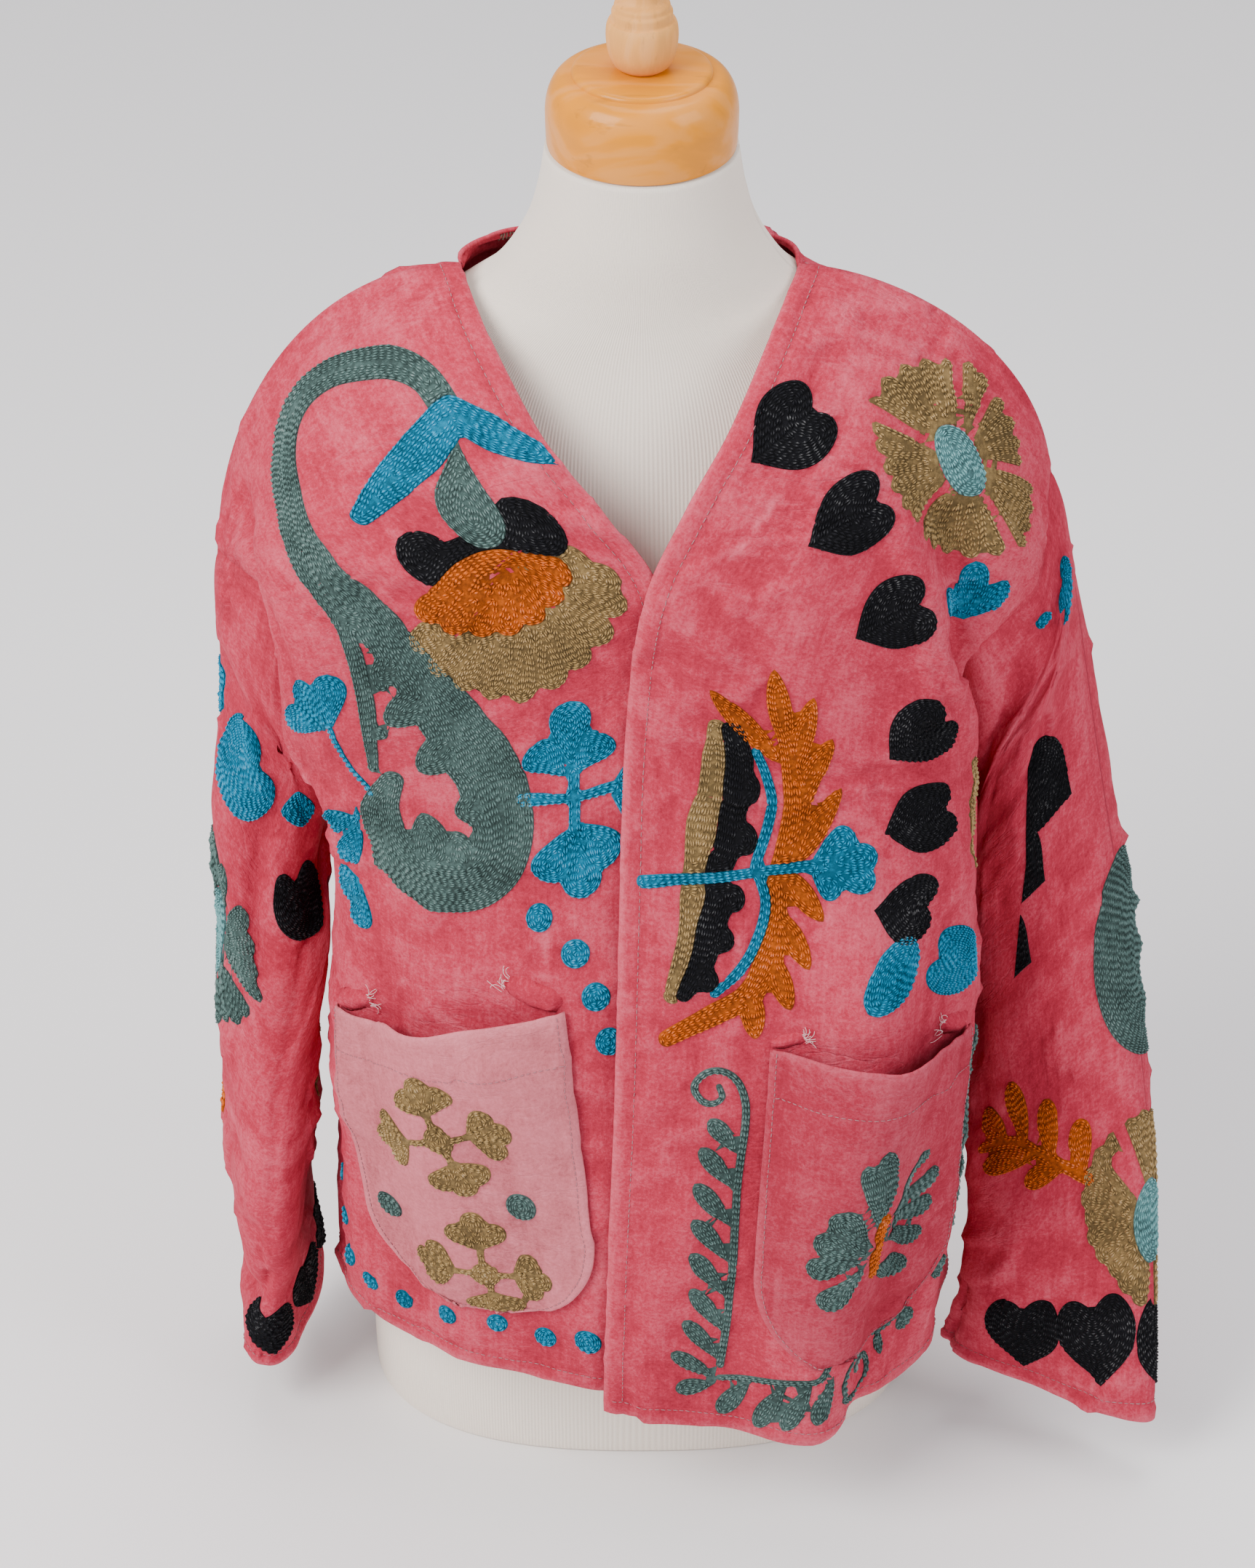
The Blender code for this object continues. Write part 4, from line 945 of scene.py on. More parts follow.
def add_shell(name, panel, thickness, material, wear):
    """A panel as a closed cloth wall with rounded edges.

    The inner side is the outer one moved in along the normals by the thickness, and a middle line
    along each free edge stands out by 0.4 of it.
    """
    outer = panel.points
    inner = outer - panel.normals * thickness
    rows, columns = outer.shape[:2]
    up = np.broadcast_to(panel.heights[:, None], panel.widths.shape)
    places = np.stack([panel.widths, up], -1)
    if panel.round_piece:
        columns -= 1
        outer, inner, places, wear = outer[:, :-1], inner[:, :-1], places[:, :-1], wear[:, :-1]
        around = np.arange(columns)
        loops = [around, around + (rows - 1) * columns]
        within = [around + columns, around + (rows - 2) * columns]
    else:
        number = np.arange(rows * columns).reshape(rows, columns)
        loops = [ring_of(number)]
        within = [ring_of(np.pad(number[1:-1, 1:-1], 1, mode="edge"))]
    size = rows * columns
    flat_outer, flat_inner = outer.reshape(-1, 3), inner.reshape(-1, 3)
    flat_places, flat_wear_and_painted_light = places.reshape(-1, 2), wear.reshape(-1)
    vertices = [flat_outer, flat_inner]
    all_places = [flat_places, flat_places]
    # The outer side and the rim carry the pile's paleness: crushed crease lines, with painted highlight on ridges and
    # edges and painted shade in dips; the inner side gets none.
    all_wear_and_painted_light = [flat_wear_and_painted_light, flat_wear_and_painted_light * 0.0]
    groups = [grid_faces(rows, columns, panel.round_piece),
        grid_faces(rows, columns, panel.round_piece, shift=size, flip=True)]
    count = 2 * size
    for loop, inside in zip(loops, within):
        away = unit(flat_outer[loop] - flat_outer[inside])
        middle = (flat_outer[loop] + flat_inner[loop]) / 2.0 + away * thickness * 0.4
        ring = np.arange(len(loop)) + count
        vertices.append(middle)
        all_places.append(flat_places[loop])
        all_wear_and_painted_light.append(flat_wear_and_painted_light[loop])
        flip = panel.round_piece and loop[0] > 0
        first, last = (loop + size, loop) if flip else (loop, loop + size)
        groups += [strip_faces(ring, first), strip_faces(last, ring)]
        count += len(loop)
    vertices = np.concatenate(vertices)
    groups = outward(vertices, groups)
    return add_mesh(name, vertices, groups, material, np.concatenate(all_places),
        {"wear": np.concatenate(all_wear_and_painted_light)})


def ring_of(number):
    """The outline of a grid of vertex numbers, once round."""
    return np.concatenate([number[0], number[1:, -1], number[-1, -2::-1], number[-2:0:-1, 0]])


def close_rings(rings):
    """Vertices and outward faces of a closed solid through rings, with a middle point at each end."""
    count, sides = rings.shape[:2]
    ends = np.stack([rings[0].mean(axis=0), rings[-1].mean(axis=0)])
    vertices = np.vstack([rings.reshape(-1, 3), ends])
    around = np.arange(sides)
    foot = np.stack([np.roll(around, -1), around, np.full(sides, count * sides)], -1)
    top = around + (count - 1) * sides
    head = np.stack([top, np.roll(top, -1), np.full(sides, count * sides + 1)], -1)
    return vertices, outward(vertices, [grid_faces(count, sides, True), foot, head])


def add_lathe(name, rings, material, sharp=None):
    """A closed solid through rings of points, lowest first, with metres round and up it as its UVs."""
    rings = np.asarray(rings)
    count, sides = rings.shape[:2]
    vertices, groups = close_rings(rings)
    run = np.linalg.norm(np.diff(rings, axis=0), axis=-1).mean(axis=-1)
    height = np.concatenate([[0.0], np.cumsum(run)])
    girth = np.linalg.norm(rings[..., :2], axis=-1).mean() * 2.0 * math.pi
    share = np.broadcast_to(np.arange(sides) / sides * girth, (count, sides))
    places = np.stack([share, np.broadcast_to(height[:, None], (count, sides))], -1).reshape(-1, 2)
    places = np.vstack([places, [[0.0, 0.0], [0.0, height[-1]]]])
    return add_mesh(name, vertices, groups, material, places, sharp=sharp)


class Signal:
    """An output socket of a material's node. Expressions on signals and numbers add Math nodes."""

    def __init__(self, tree, socket=None):
        self.tree = tree
        self.socket = socket

    def node(self, kind, settings=None, inputs=None, output=0):
        """Adds a node: its settings first, then its sockets' values or links. Gives one output."""
        made = self.tree.nodes.new(kind)
        for name, value in (settings or {}).items():
            if name == "stops":
                ramp = made.color_ramp.elements
                while len(ramp) < len(value):
                    ramp.new(0.5)
                for stop, (place, colour) in zip(ramp, value):
                    stop.position = place
                    stop.color = (*colour, 1.0)
            else:
                setattr(made, name, value)
        for name, value in (inputs or {}).items():
            if isinstance(value, Signal):
                self.tree.links.new(value.socket, made.inputs[name])
            else:
                made.inputs[name].default_value = value
        return Signal(self.tree, made.outputs[output])

    def math(self, operation, *values, clamp=False):
        """A Math node on this signal and the given values."""
        inputs = dict(enumerate((self, *values)))
        return self.node("ShaderNodeMath", {"operation": operation, "use_clamp": clamp}, inputs)

    def __add__(self, other):
        return self.math("ADD", other)

    __radd__ = __add__

    def __mul__(self, other):
        return self.math("MULTIPLY", other)

    __rmul__ = __mul__

    def __sub__(self, other):
        return self.math("SUBTRACT", other)

    def __rsub__(self, other):
        return self * -1.0 + other

    def __pow__(self, other):
        return self.math("POWER", other)

    def __abs__(self):
        return self.math("ABSOLUTE")

    def clamp(self):
        """This signal kept between 0 and 1."""
        return self.math("ADD", 0.0, clamp=True)

    def step(self, low, high):
        """A soft step from 0 at low to 1 at high."""
        settings = {"interpolation_type": "SMOOTHSTEP"}
        inputs = {"Value": self, "From Min": low, "From Max": high}
        return self.node("ShaderNodeMapRange", settings, inputs)

    def mapped(self, scale, turn=0.0):
        """A vector signal scaled along its axes, and turned about Z."""
        inputs = {"Vector": self, "Scale": scale, "Rotation": (0.0, 0.0, turn)}
        return self.node("ShaderNodeMapping", {"vector_type": "POINT"}, inputs)

    def noise(self, scale=1.0, detail=3.0, rough=0.5, distortion=0.0):
        """Perlin noise from 0 to 1 at this vector signal."""
        inputs = {"Vector": self, "Scale": scale, "Detail": detail, "Roughness": rough,
            "Distortion": distortion}
        return self.node("ShaderNodeTexNoise", {"noise_dimensions": "3D"}, inputs)

    def ramp(self, *stops):
        """A colour for this signal from places and colours."""
        return self.node("ShaderNodeValToRGB", {"stops": stops}, {"Fac": self})

    def mix(self, first, second):
        """A colour between two colours, by this signal."""
        first, second = ((*c, 1.0) if isinstance(c, tuple) else c for c in (first, second))
        return self.node("ShaderNodeMix", {"data_type": "RGBA"}, {0: self, 6: first, 7: second},
            output=2)

    def bump(self, depth, strength=1.0, under=None):
        """A normal from this signal as a height, depth metres high from 0 to 1."""
        inputs = {"Strength": strength, "Distance": depth, "Height": self}
        if under is not None:
            inputs["Normal"] = under
        return self.node("ShaderNodeBump", None, inputs)


def new_material(name):
    """An empty material and a signal on its tree to start from."""
    material = bpy.data.materials.new(name)
    material.use_nodes = True
    material.node_tree.nodes.clear()
    return material, Signal(material.node_tree)


def finish_material(start, base, rough, normal=None, **levels):
    """Ends a material in one Principled shader: links first, then levels that stay the same."""
    inputs = {"Base Color": base, "Roughness": rough, **({"Normal": normal} if normal else {})}
    inputs.update({LEVELS[name]: level for name, level in levels.items()})
    shader = start.node("ShaderNodeBsdfPrincipled", None, inputs)
    end = start.tree.nodes.new("ShaderNodeOutputMaterial")
    start.tree.links.new(shader.socket, end.inputs["Surface"])


LEVELS = {
    "sheen": "Sheen Weight", "sheen_rough": "Sheen Roughness", "tint": "Sheen Tint",
    "specular": "Specular IOR Level", "coat": "Coat Weight", "coat_rough": "Coat Roughness",
}


def lighter(colour, amount):
    """A colour moved towards white by a share, or towards black by a negative one."""
    goal = 1.0 if amount > 0 else 0.0
    return tuple(c + (goal - c) * abs(amount) for c in colour)


def velvet(name, colour, pale, shade, sheen):
    """Crushed cotton velvet on the cloth's own metres.

    The tone is a broad mottle, faint streaks along the cloth, thin wrinkles where a ridged noise
    peaks, and the pile's grain; from its per-point attribute, crushed crease lines are paler, ridges
    and rolled edges are paler as painted highlight, and dips are darker as painted shade.
    """
    material, start = new_material(name)
    cloth = start.node("ShaderNodeUVMap", {"uv_map": "UVMap"})
    # This attribute brings real pale crease lines and painted light: a painted highlight on ridges and rolled edges,
    # and painted shade in dips.
    wear = start.node("ShaderNodeAttribute", {"attribute_name": "wear"}, output=2)
    broad = cloth.mapped((13.0, 9.0, 1.0)).noise(1.0, 3.0, 0.55, 0.4)
    patch = cloth.mapped((48.0, 34.0, 1.0), 0.3).noise(1.0, 5.0, 0.65, 0.8)
    streak = cloth.mapped((330.0, 20.0, 1.0)).noise(1.0, 3.0, 0.6)
    lines = cloth.mapped((30.0, 95.0, 1.0), 0.25).noise(1.0, 3.0, 0.55, 1.0)
    wrinkle = (1.0 - abs(lines * 2.0 - 1.0)) ** 16.0
    gate = cloth.mapped((12.0, 15.0, 1.0), 0.8).noise(1.0, 2.0, 0.5).step(0.46, 0.62)
    grain = cloth.noise(560.0, 4.0, 0.8)
    crush = cloth.noise(210.0, 2.0, 0.6, 0.5)
    tone = (broad - 0.5) * 0.75 + (patch - 0.5) * 0.55 + (streak - 0.5) * 0.35
    tone = tone + (grain - 0.5) * 1.15 + (crush - 0.5) * 0.5 + wrinkle * gate * 0.15 + wear * 0.42 + 0.42
    tone = tone.clamp()
    base = tone.ramp((0.0, shade), (0.46, colour), (1.0, pale))
    height = patch * 0.6 + crush * 0.3 + grain * 0.4 + streak * 0.15 - wrinkle * gate * 0.35
    finish_material(start, base, 0.95 - tone * 0.12, height.bump(0.0013, 0.7), sheen=sheen,
        sheen_rough=0.35, tint=(*pale, 1.0), specular=0.12)
    return material


def wool(name, colour):
    """Matt twisted wool: strands a little lighter or darker, with fine fibres, and painted shade between them, low in
    each stitch.
    """
    material, start = new_material(name)
    here = start.node("ShaderNodeTexCoord", output=3)
    rise = start.node("ShaderNodeAttribute", {"attribute_name": "rise"}, output=2)
    strand = here.noise(330.0, 2.0, 0.6)
    lot = here.noise(40.0, 2.0, 0.5)
    fibre = here.noise(2400.0, 2.0, 0.7)
    tone = (strand - 0.5) * 0.9 + (lot - 0.5) * 0.7 + (fibre - 0.5) * 0.5
    # Painted shade: the lower a point sits in its stitch, the darker it is painted, so the patch between the stitches
    # reads as shaded.
    tone = (tone + 0.12 + rise * 0.62).clamp()
    base = tone.ramp((0.0, lighter(colour, -0.72)), (0.62, colour), (1.0, lighter(colour, 0.13)))
    finish_material(start, base, 0.93 - fibre * 0.1, (strand * 0.5 + fibre).bump(0.0004, 0.6),
        sheen=0.05, sheen_rough=0.5, tint=(*lighter(colour, 0.3), 1.0), specular=0.12)
    return material


def thread(name, colour):
    """Sewing cotton, with a fine twist."""
    material, start = new_material(name)
    here = start.node("ShaderNodeTexCoord", output=3)
    twist = here.noise(2200.0, 2.0, 0.6)
    base = twist.mix(lighter(colour, -0.3), lighter(colour, 0.2))
    finish_material(start, base, 0.62 + twist * 0.2, twist.bump(0.0003, 0.6), specular=0.3)
    return material


def jersey(name, colour):
    """Fine rib jersey stretched over the form: ribs every 1.25 mm up it, and small knit loops."""
    material, start = new_material(name)
    cloth = start.node("ShaderNodeUVMap", {"uv_map": "UVMap"})
    parts = cloth.node("ShaderNodeSeparateXYZ", None, {0: cloth})
    drift = cloth.mapped((30.0, 6.0, 1.0)).noise(1.0, 2.0, 0.5) * 6.0
    rib = (parts * (2.0 * math.pi / 0.00125) + drift).math("SINE") * 0.5 + 0.5
    loop = cloth.mapped((1600.0, 900.0, 1.0)).noise(1.0, 2.0, 0.6)
    cloud = cloth.mapped((9.0, 7.0, 1.0)).noise(1.0, 3.0, 0.5)
    tone = (rib * 0.42 + loop * 0.34 + cloud * 0.34).clamp()
    base = tone.ramp((0.0, lighter(colour, -0.22)), (0.5, colour), (1.0, lighter(colour, 0.16)))
    finish_material(start, base, 0.88 - cloud * 0.08, (rib + loop * 0.6).bump(0.00035, 0.5),
        sheen=0.18, sheen_rough=0.4, specular=0.25)
    return material


def wood(name, colour, along, rough, coat):
    """Turned wood: growth lines along one direction, short pores, and a varnish coat if it has one."""
    material, start = new_material(name)
    here = start.node("ShaderNodeTexCoord", output=3)
    figure = here.mapped(along).noise(1.0, 4.0, 0.55, 0.6)
    line = (figure * 26.0).math("SINE") * 0.5 + 0.5
    cloud = here.noise(26.0, 2.0, 0.5)
    pore = here.mapped(tuple(4.0 * a for a in along)).noise(1.0, 3.0, 0.7).step(0.60, 0.72)
    tone = (line * 0.30 + cloud * 0.22 + 0.24).clamp()
    base = tone.ramp((0.0, lighter(colour, -0.26)), (0.5, colour), (1.0, lighter(colour, 0.10)))
    base = (pore * 0.28).mix(base, lighter(colour, -0.5))
    height = (1.0 - pore) + line * 0.2
    finish_material(start, base, rough + cloud * 0.10, height.bump(0.0002, 0.3), coat=coat,
        coat_rough=0.10, specular=0.18)
    return material


def plain_surface(name, colour, rough):
    """A table top with a faint unevenness."""
    material, start = new_material(name)
    here = start.node("ShaderNodeTexCoord", output=3)
    cloud = here.noise(1.2, 2.0, 0.5)
    base = cloud.mix(lighter(colour, -0.015), lighter(colour, 0.015))
    finish_material(start, base, rough + cloud * 0.05)
    return material


# Places on a panel are written in millimetres across and up it; mm makes them metres.
WOOL_ROW = 0.0024
WOOL_STITCH = 0.0038
BACK_COARSER = 1.35
FIELD_STEP = 0.0007
PATCH_EVERY = 3


def mm(*places):
    """Places in metres from pairs in millimetres."""
    return np.array(places, float) / 1000.0


def oval(centre, end, half_width):
    """An ellipse from its centre, one end of it and half its width."""
    centre, end = mm(centre)[0], mm(end)[0]
    axis = end - centre
    side = unit(np.array([-axis[1], axis[0]])) * half_width / 1000.0
    angle = np.linspace(0.0, 2.0 * math.pi, 48, endpoint=False)[:, None]
    return centre + axis * np.cos(angle) + side * np.sin(angle)


def dot(centre, radius):
    """A round dot, a little flattened as sewn ones are."""
    return oval(centre, (centre[0] + radius, centre[1] + radius * 0.1), radius * 1.1)


def leaf(base, tip, width, fullest=0.6, blunt=0.6):
    """A leaf from base to tip: half its width goes as a power of the sine of its length.

    fullest is the share of the length where it is widest, and a lower blunt gives rounder ends.
    """
    base, tip = mm(base)[0], mm(tip)[0]
    axis = tip - base
    side = unit(np.array([-axis[1], axis[0]])) * width / 2000.0
    share = np.linspace(0.0, 1.0, 24)
    swell = np.sin(math.pi * share ** (math.log(0.5) / math.log(fullest))).clip(0.0) ** blunt
    left = base + axis * share[:, None] + side * swell[:, None]
    right = base + axis * share[:, None] - side * swell[:, None]
    return np.vstack([left, right[-2:0:-1]])


def heart(tip, notch, width):
    """A plump heart: x is a power of a sine, and y a sum of four cosines with a shallow notch."""
    tip, notch = mm(tip)[0], mm(notch)[0]
    angle = np.linspace(0.0, 2.0 * math.pi, 72, endpoint=False)[:, None]
    axis = (notch - tip) / 22.0
    side = unit(np.array([-axis[1], axis[0]])) * width / 2000.0
    rise = 13.0 * np.cos(angle) - 2.6 * np.cos(2.0 * angle) - 2.0 * np.cos(3.0 * angle)
    rise = rise - np.cos(4.0 * angle) + 14.6
    return tip + axis * rise + side * np.sign(np.sin(angle)) * abs(np.sin(angle)) ** 2.1


def band(places, widths):
    """A band with round ends along a smooth line, its width running through the given widths."""
    share = np.linspace(0.0, 1.0, 10 * len(places))
    line = spline(mm(*places), share)
    run = unit(np.gradient(line, axis=0))
    side = np.stack([-run[:, 1], run[:, 0]], -1)
    half = np.interp(share, np.linspace(0.0, 1.0, len(widths)), widths)[:, None] / 2000.0
    turn = np.linspace(0.0, math.pi, 9)[1:-1, None]
    far = line[-1] + half[-1] * (side[-1] * np.cos(turn) + run[-1] * np.sin(turn))
    near = line[0] - half[0] * (side[0] * np.cos(turn) + run[0] * np.sin(turn))
    return np.vstack([line + side * half, far, (line - side * half)[::-1], near])


def tulip(base, tip, width):
    """Three rounded petals that open from one base."""
    start, end = np.array(base, float), np.array(tip, float)
    axis = end - start
    side = unit(np.array([-axis[1], axis[0]])) * width / 2.0
    ends = [start + axis, start + axis * 0.66 + side, start + axis * 0.66 - side]
    return [leaf(base, place, width * 0.40, 0.68, 0.5) for place in ends]


def petals(centre, ends, width, fullest=0.72):
    """Leaves from near one centre to each of several ends, which make a scalloped fan together."""
    start = np.array(centre, float)
    return [leaf(start + (end - start) * 0.1, end, width, fullest, 0.5) for end in np.array(ends, float)]


def signed_distance(x, y, outline):
    """How far inside a closed outline each place is, and negative outside it.

    The nearest point of every side is found by clamping, and a place is inside if a line from it
    crosses the outline an odd number of times.
    """
    ax, ay = outline.T
    bx, by = np.roll(outline, -1, axis=0).T
    dx, dy = bx - ax, by - ay
    px, py = x.reshape(-1, 1), y.reshape(-1, 1)
    share = ((px - ax) * dx + (py - ay) * dy) / np.maximum(dx * dx + dy * dy, 1e-14)
    share = np.clip(share, 0.0, 1.0)
    off = np.hypot(px - ax - share * dx, py - ay - share * dy).min(axis=1)
    slope = dx / np.where(abs(dy) < 1e-12, 1e-12, dy)
    crossed = ((ay > py) != (by > py)) & (px < ax + (py - ay) * slope)
    inside = crossed.sum(axis=1) % 2 == 1
    return np.where(inside, off, -off).reshape(x.shape)


def level_lines(field, level):
    """The lines where a grid crosses a level, as arrays of (column, row) places.

    Each cell joins the crossings on its sides, and the joined crossings are walked from end to end.
    """
    over = field > level
    rows, columns = field.shape
    size = rows * columns
    flat = np.arange(size).reshape(rows, columns)
    across = over[:, :-1] != over[:, 1:]
    along = over[:-1] != over[1:]
    sides = np.stack([across[:-1], along[:, 1:], across[1:], along[:, :-1]], -1)
    names = np.stack([flat[:-1, :-1], flat[:-1, 1:] + size, flat[1:, :-1], flat[:-1, :-1] + size],
        -1)
    links = {}
    for i, j in np.argwhere(sides.any(axis=-1)):
        found = names[i, j][sides[i, j]]
        pairs = [found] if len(found) == 2 else [found[:2], found[2:]]
        for a, b in pairs:
            links.setdefault(int(a), []).append(int(b))
            links.setdefault(int(b), []).append(int(a))

    def place(name):
        upright, cell = divmod(name, size)
        i, j = divmod(cell, columns)
        k, m = (i + 1, j) if upright else (i, j + 1)
        share = (level - field[i, j]) / (field[k, m] - field[i, j])
        return (j + share * (m - j), i + share * (k - i))

    lines = []
    while links:
        open_ends = [name for name, others in links.items() if len(others) == 1]
        name = open_ends[0] if open_ends else next(iter(links))
        walk = [name]
        while name in links:
            others = links.pop(name)
            onward = [other for other in others if other in links]
            if not onward:
                closed = walk[0] in others and len(walk) > 2
                break
            name = onward[0]
            walk.append(name)
        if closed:
            walk.append(walk[0])
        lines.append(np.array([place(step) for step in walk]))
    return lines


def even_steps(line, step):
    """Middles and directions of even steps along a line."""
    run = np.linalg.norm(np.diff(line, axis=0), axis=1)
    reach = np.concatenate([[0.0], np.cumsum(run)])
    count = max(1, round(reach[-1] / step))
    ends = np.linspace(0.0, reach[-1], count + 1)
    points = np.stack([np.interp(ends, reach, line[:, k]) for k in range(2)], -1)
    return (points[1:] + points[:-1]) / 2.0, points[1:] - points[:-1]


# Half a chain stitch: a slim lobe from its tail to its head, as shares of length, width and height.
LOBE = np.array(
    [
        (-0.56, 0.05, 0.30),
        (0.56, 0.24, 0.42),
        (0.05, 0.50, 0.34),
        (0.02, 0.26, 1.00),
        (-0.02, 0.02, 0.46),
        (0.02, 0.26, 0.00),
    ]
)
LOBE_FACES = np.array(
    [(0, 3, 2), (0, 4, 3), (0, 5, 4), (0, 2, 5), (1, 2, 3), (1, 3, 4), (1, 4, 5), (1, 5, 2)]
)
CHAIN = np.vstack([LOBE, LOBE * (1.0, -1.0, 1.0)])
CHAIN_FACES = np.vstack([LOBE_FACES, LOBE_FACES[:, ::-1] + 6])

# A run of thread: two rings of four points and two ends.
RUN = np.array(
    [(-0.5, 0.0, 0.1)]
    + [(x, y, z) for x in (-0.28, 0.28) for y, z in ((0.5, 0.35), (0.0, 1.0), (-0.5, 0.35), (0.0, 0.0))]
    + [(0.5, 0.0, 0.1)]
)
RUN_FACES = np.array(
    [(0, 1 + (k + 1) % 4, 1 + k) for k in range(4)]
    + [(1 + k, 1 + (k + 1) % 4, 5 + (k + 1) % 4) for k in range(4)]
    + [(1 + k, 5 + (k + 1) % 4, 5 + k) for k in range(4)]
    + [(5 + k, 5 + (k + 1) % 4, 9) for k in range(4)]
)


def add_stitches(heap, panel, shape, faces, middles, directions, width, height, seed):
    """Sets a small shape at each middle along its direction, all at once, on a panel.

    The shape's x goes along the step, its y across it and its z between the two heights over the
    cloth.
    """
    random = np.random.default_rng(seed)
    length = np.linalg.norm(directions, axis=-1, keepdims=True)
    forward = directions / np.maximum(length, 1e-9)
    turn = random.normal(0.0, 0.09, (len(middles), 1))
    forward = forward * np.cos(turn) + np.stack([-forward[:, 1], forward[:, 0]], -1) * np.sin(turn)
    side = np.stack([-forward[:, 1], forward[:, 0]], -1)
    scale = random.uniform(0.90, 1.12, (len(middles), 1, 1))
    x = shape[None, :, :1] * length[:, None] * scale
    y = shape[None, :, 1:2] * width * scale
    places = middles[:, None] + forward[:, None] * x + side[:, None] * y
    spots, normals = panel.at(places[..., 0], places[..., 1])
    rise = height[0] + (height[1] - height[0]) * shape[None, :, 2] * scale[..., 0]
    vertices = spots + normals * rise[..., None]
    every = faces[None] + (np.arange(len(middles)) * len(shape))[:, None, None]
    if panel.turn * (height[1] - height[0]) < 0:
        every = every[..., ::-1]
    heap.add(vertices, places, np.tile(shape[:, 2], len(middles)), every)


def room(panel, x, y, margin=0.0022):
    """How far places are inside a panel's edges, less a margin."""
    inside = np.minimum(y, panel.heights[-1] - y)
    if not panel.round_piece:
        first, last = (np.interp(y, panel.heights, panel.widths[:, k]) for k in (0, -1))
        inside = np.minimum(inside, np.minimum(x - first, last - x))
    return inside - margin


def field_of(outlines):
    """A fine grid round some outlines, and how far inside any of them each of its places is."""
    every = np.vstack(outlines)
    low, high = every.min(axis=0) - 0.003, every.max(axis=0) + 0.003
    across = np.arange(low[0], high[0] + FIELD_STEP * PATCH_EVERY, FIELD_STEP)
    up = np.arange(low[1], high[1] + FIELD_STEP * PATCH_EVERY, FIELD_STEP)
    x, y = np.meshgrid(across, up)
    return x, y, np.max([signed_distance(x, y, outline) for outline in outlines], axis=0)


def sew(heap, panel, outlines, cut=(), seed=1, row=WOOL_ROW):
    """Fills the outlines with wool: a low patch, and rows of chain stitches that follow their edge.

    Rows are lines of equal distance from the edge. cut lists outlines that are left bare.
    """
    x, y, field = field_of(outlines)
    for outline in cut:
        field = np.minimum(field, -signed_distance(x, y, outline))
    field = np.minimum(field, room(panel, x, y))
    if field.max() < 0.0006:
        return
    add_patch(heap, panel, x, y, field)
    rows = max(1, round(field.max() / row))
    middles, directions = [], []
    for k in range(rows):
        for line in level_lines(field, (k + 0.5) * field.max() / rows):
            if len(line) > 4:
                middle, direction = even_steps((x[0, 0], y[0, 0]) + line * FIELD_STEP, WOOL_STITCH)
                middles.append(middle)
                directions.append(direction if k % 2 else -direction)
    if middles:
        add_stitches(heap, panel, CHAIN, CHAIN_FACES, np.concatenate(middles),
            np.concatenate(directions), row * 1.04, (0.0001, 0.0016), seed)


def add_patch(heap, panel, x, y, field, height=0.0006, slope=0.0012):
    """A thin closed patch that rises to its height within a slope from its edge.

    Grid corners just outside the outline are moved onto it, down the slope of the field.
    """
    slope_y, slope_x = np.gradient(field, FIELD_STEP)
    x, y, field, slope_x, slope_y = (
        grid[::PATCH_EVERY, ::PATCH_EVERY] for grid in (x, y, field, slope_x, slope_y)
    )
    steep = np.maximum(np.hypot(slope_x, slope_y), 0.5) ** 2
    outside = np.minimum(field, 0.0)
    x = x - outside * slope_x / steep
    y = y - outside * slope_y / steep
    inside = field > 0.0
    cells = inside[:-1, :-1] | inside[1:, :-1] | inside[:-1, 1:] | inside[1:, 1:]
    i, j = np.nonzero(cells)
    columns = x.shape[1]
    first = i * columns + j
    quads = np.stack([first, first + 1, first + columns + 1, first + columns], -1)
    used, quads = np.unique(quads, return_inverse=True)
    quads = quads.reshape(-1, 4)
    places = np.stack([x.ravel()[used], y.ravel()[used]], -1)
    spots, normals = panel.at(places[:, 0], places[:, 1])
    high = 0.0001 + (height - 0.0001) * smoothstep(field.ravel()[used] / slope)
    top = spots + normals * high[:, None]
    under = spots - normals * 0.0003
    count = len(used)
    edges = np.concatenate([quads[:, [k, (k + 1) % 4]] for k in range(4)])
    key = edges[:, 0] * count + edges[:, 1]
    free = edges[~np.isin(key, edges[:, 1] * count + edges[:, 0])]
    walls = np.stack([free[:, 1], free[:, 0], free[:, 0] + count, free[:, 1] + count], -1)
    faces = np.vstack([quads, quads[:, ::-1] + count, walls])
    if panel.turn < 0:
        faces = faces[:, ::-1]
    # A rise of 0: under the wool this patch is painted darkest, as shade between the stitches.
    heap.add(np.vstack([top, under]), np.vstack([places, places]), np.zeros(2 * count), faces)


def pocket_outline(pocket, inset=0.004):
    """A pocket's outline on its front, drawn in by an inset."""
    share = np.linspace(0.0, 1.0, 25)
    height = pocket.height * share
    rise = np.minimum(height, pocket.corner)
    reach = pocket.corner - np.sqrt(pocket.corner**2 - (pocket.corner - rise) ** 2)
    half = pocket.width / 2.0 - reach * 0.98 - inset
    centre = pocket.from_edge + pocket.lean * share
    edges = []
    for sign in (-1.0, 1.0):
        up = pocket.above_hem + inset + height * (1.0 + pocket.tilt * sign * 0.5)
        edges.append(np.stack([centre + sign * half, up], -1))
    return np.vstack([edges[0], edges[1][::-1]])


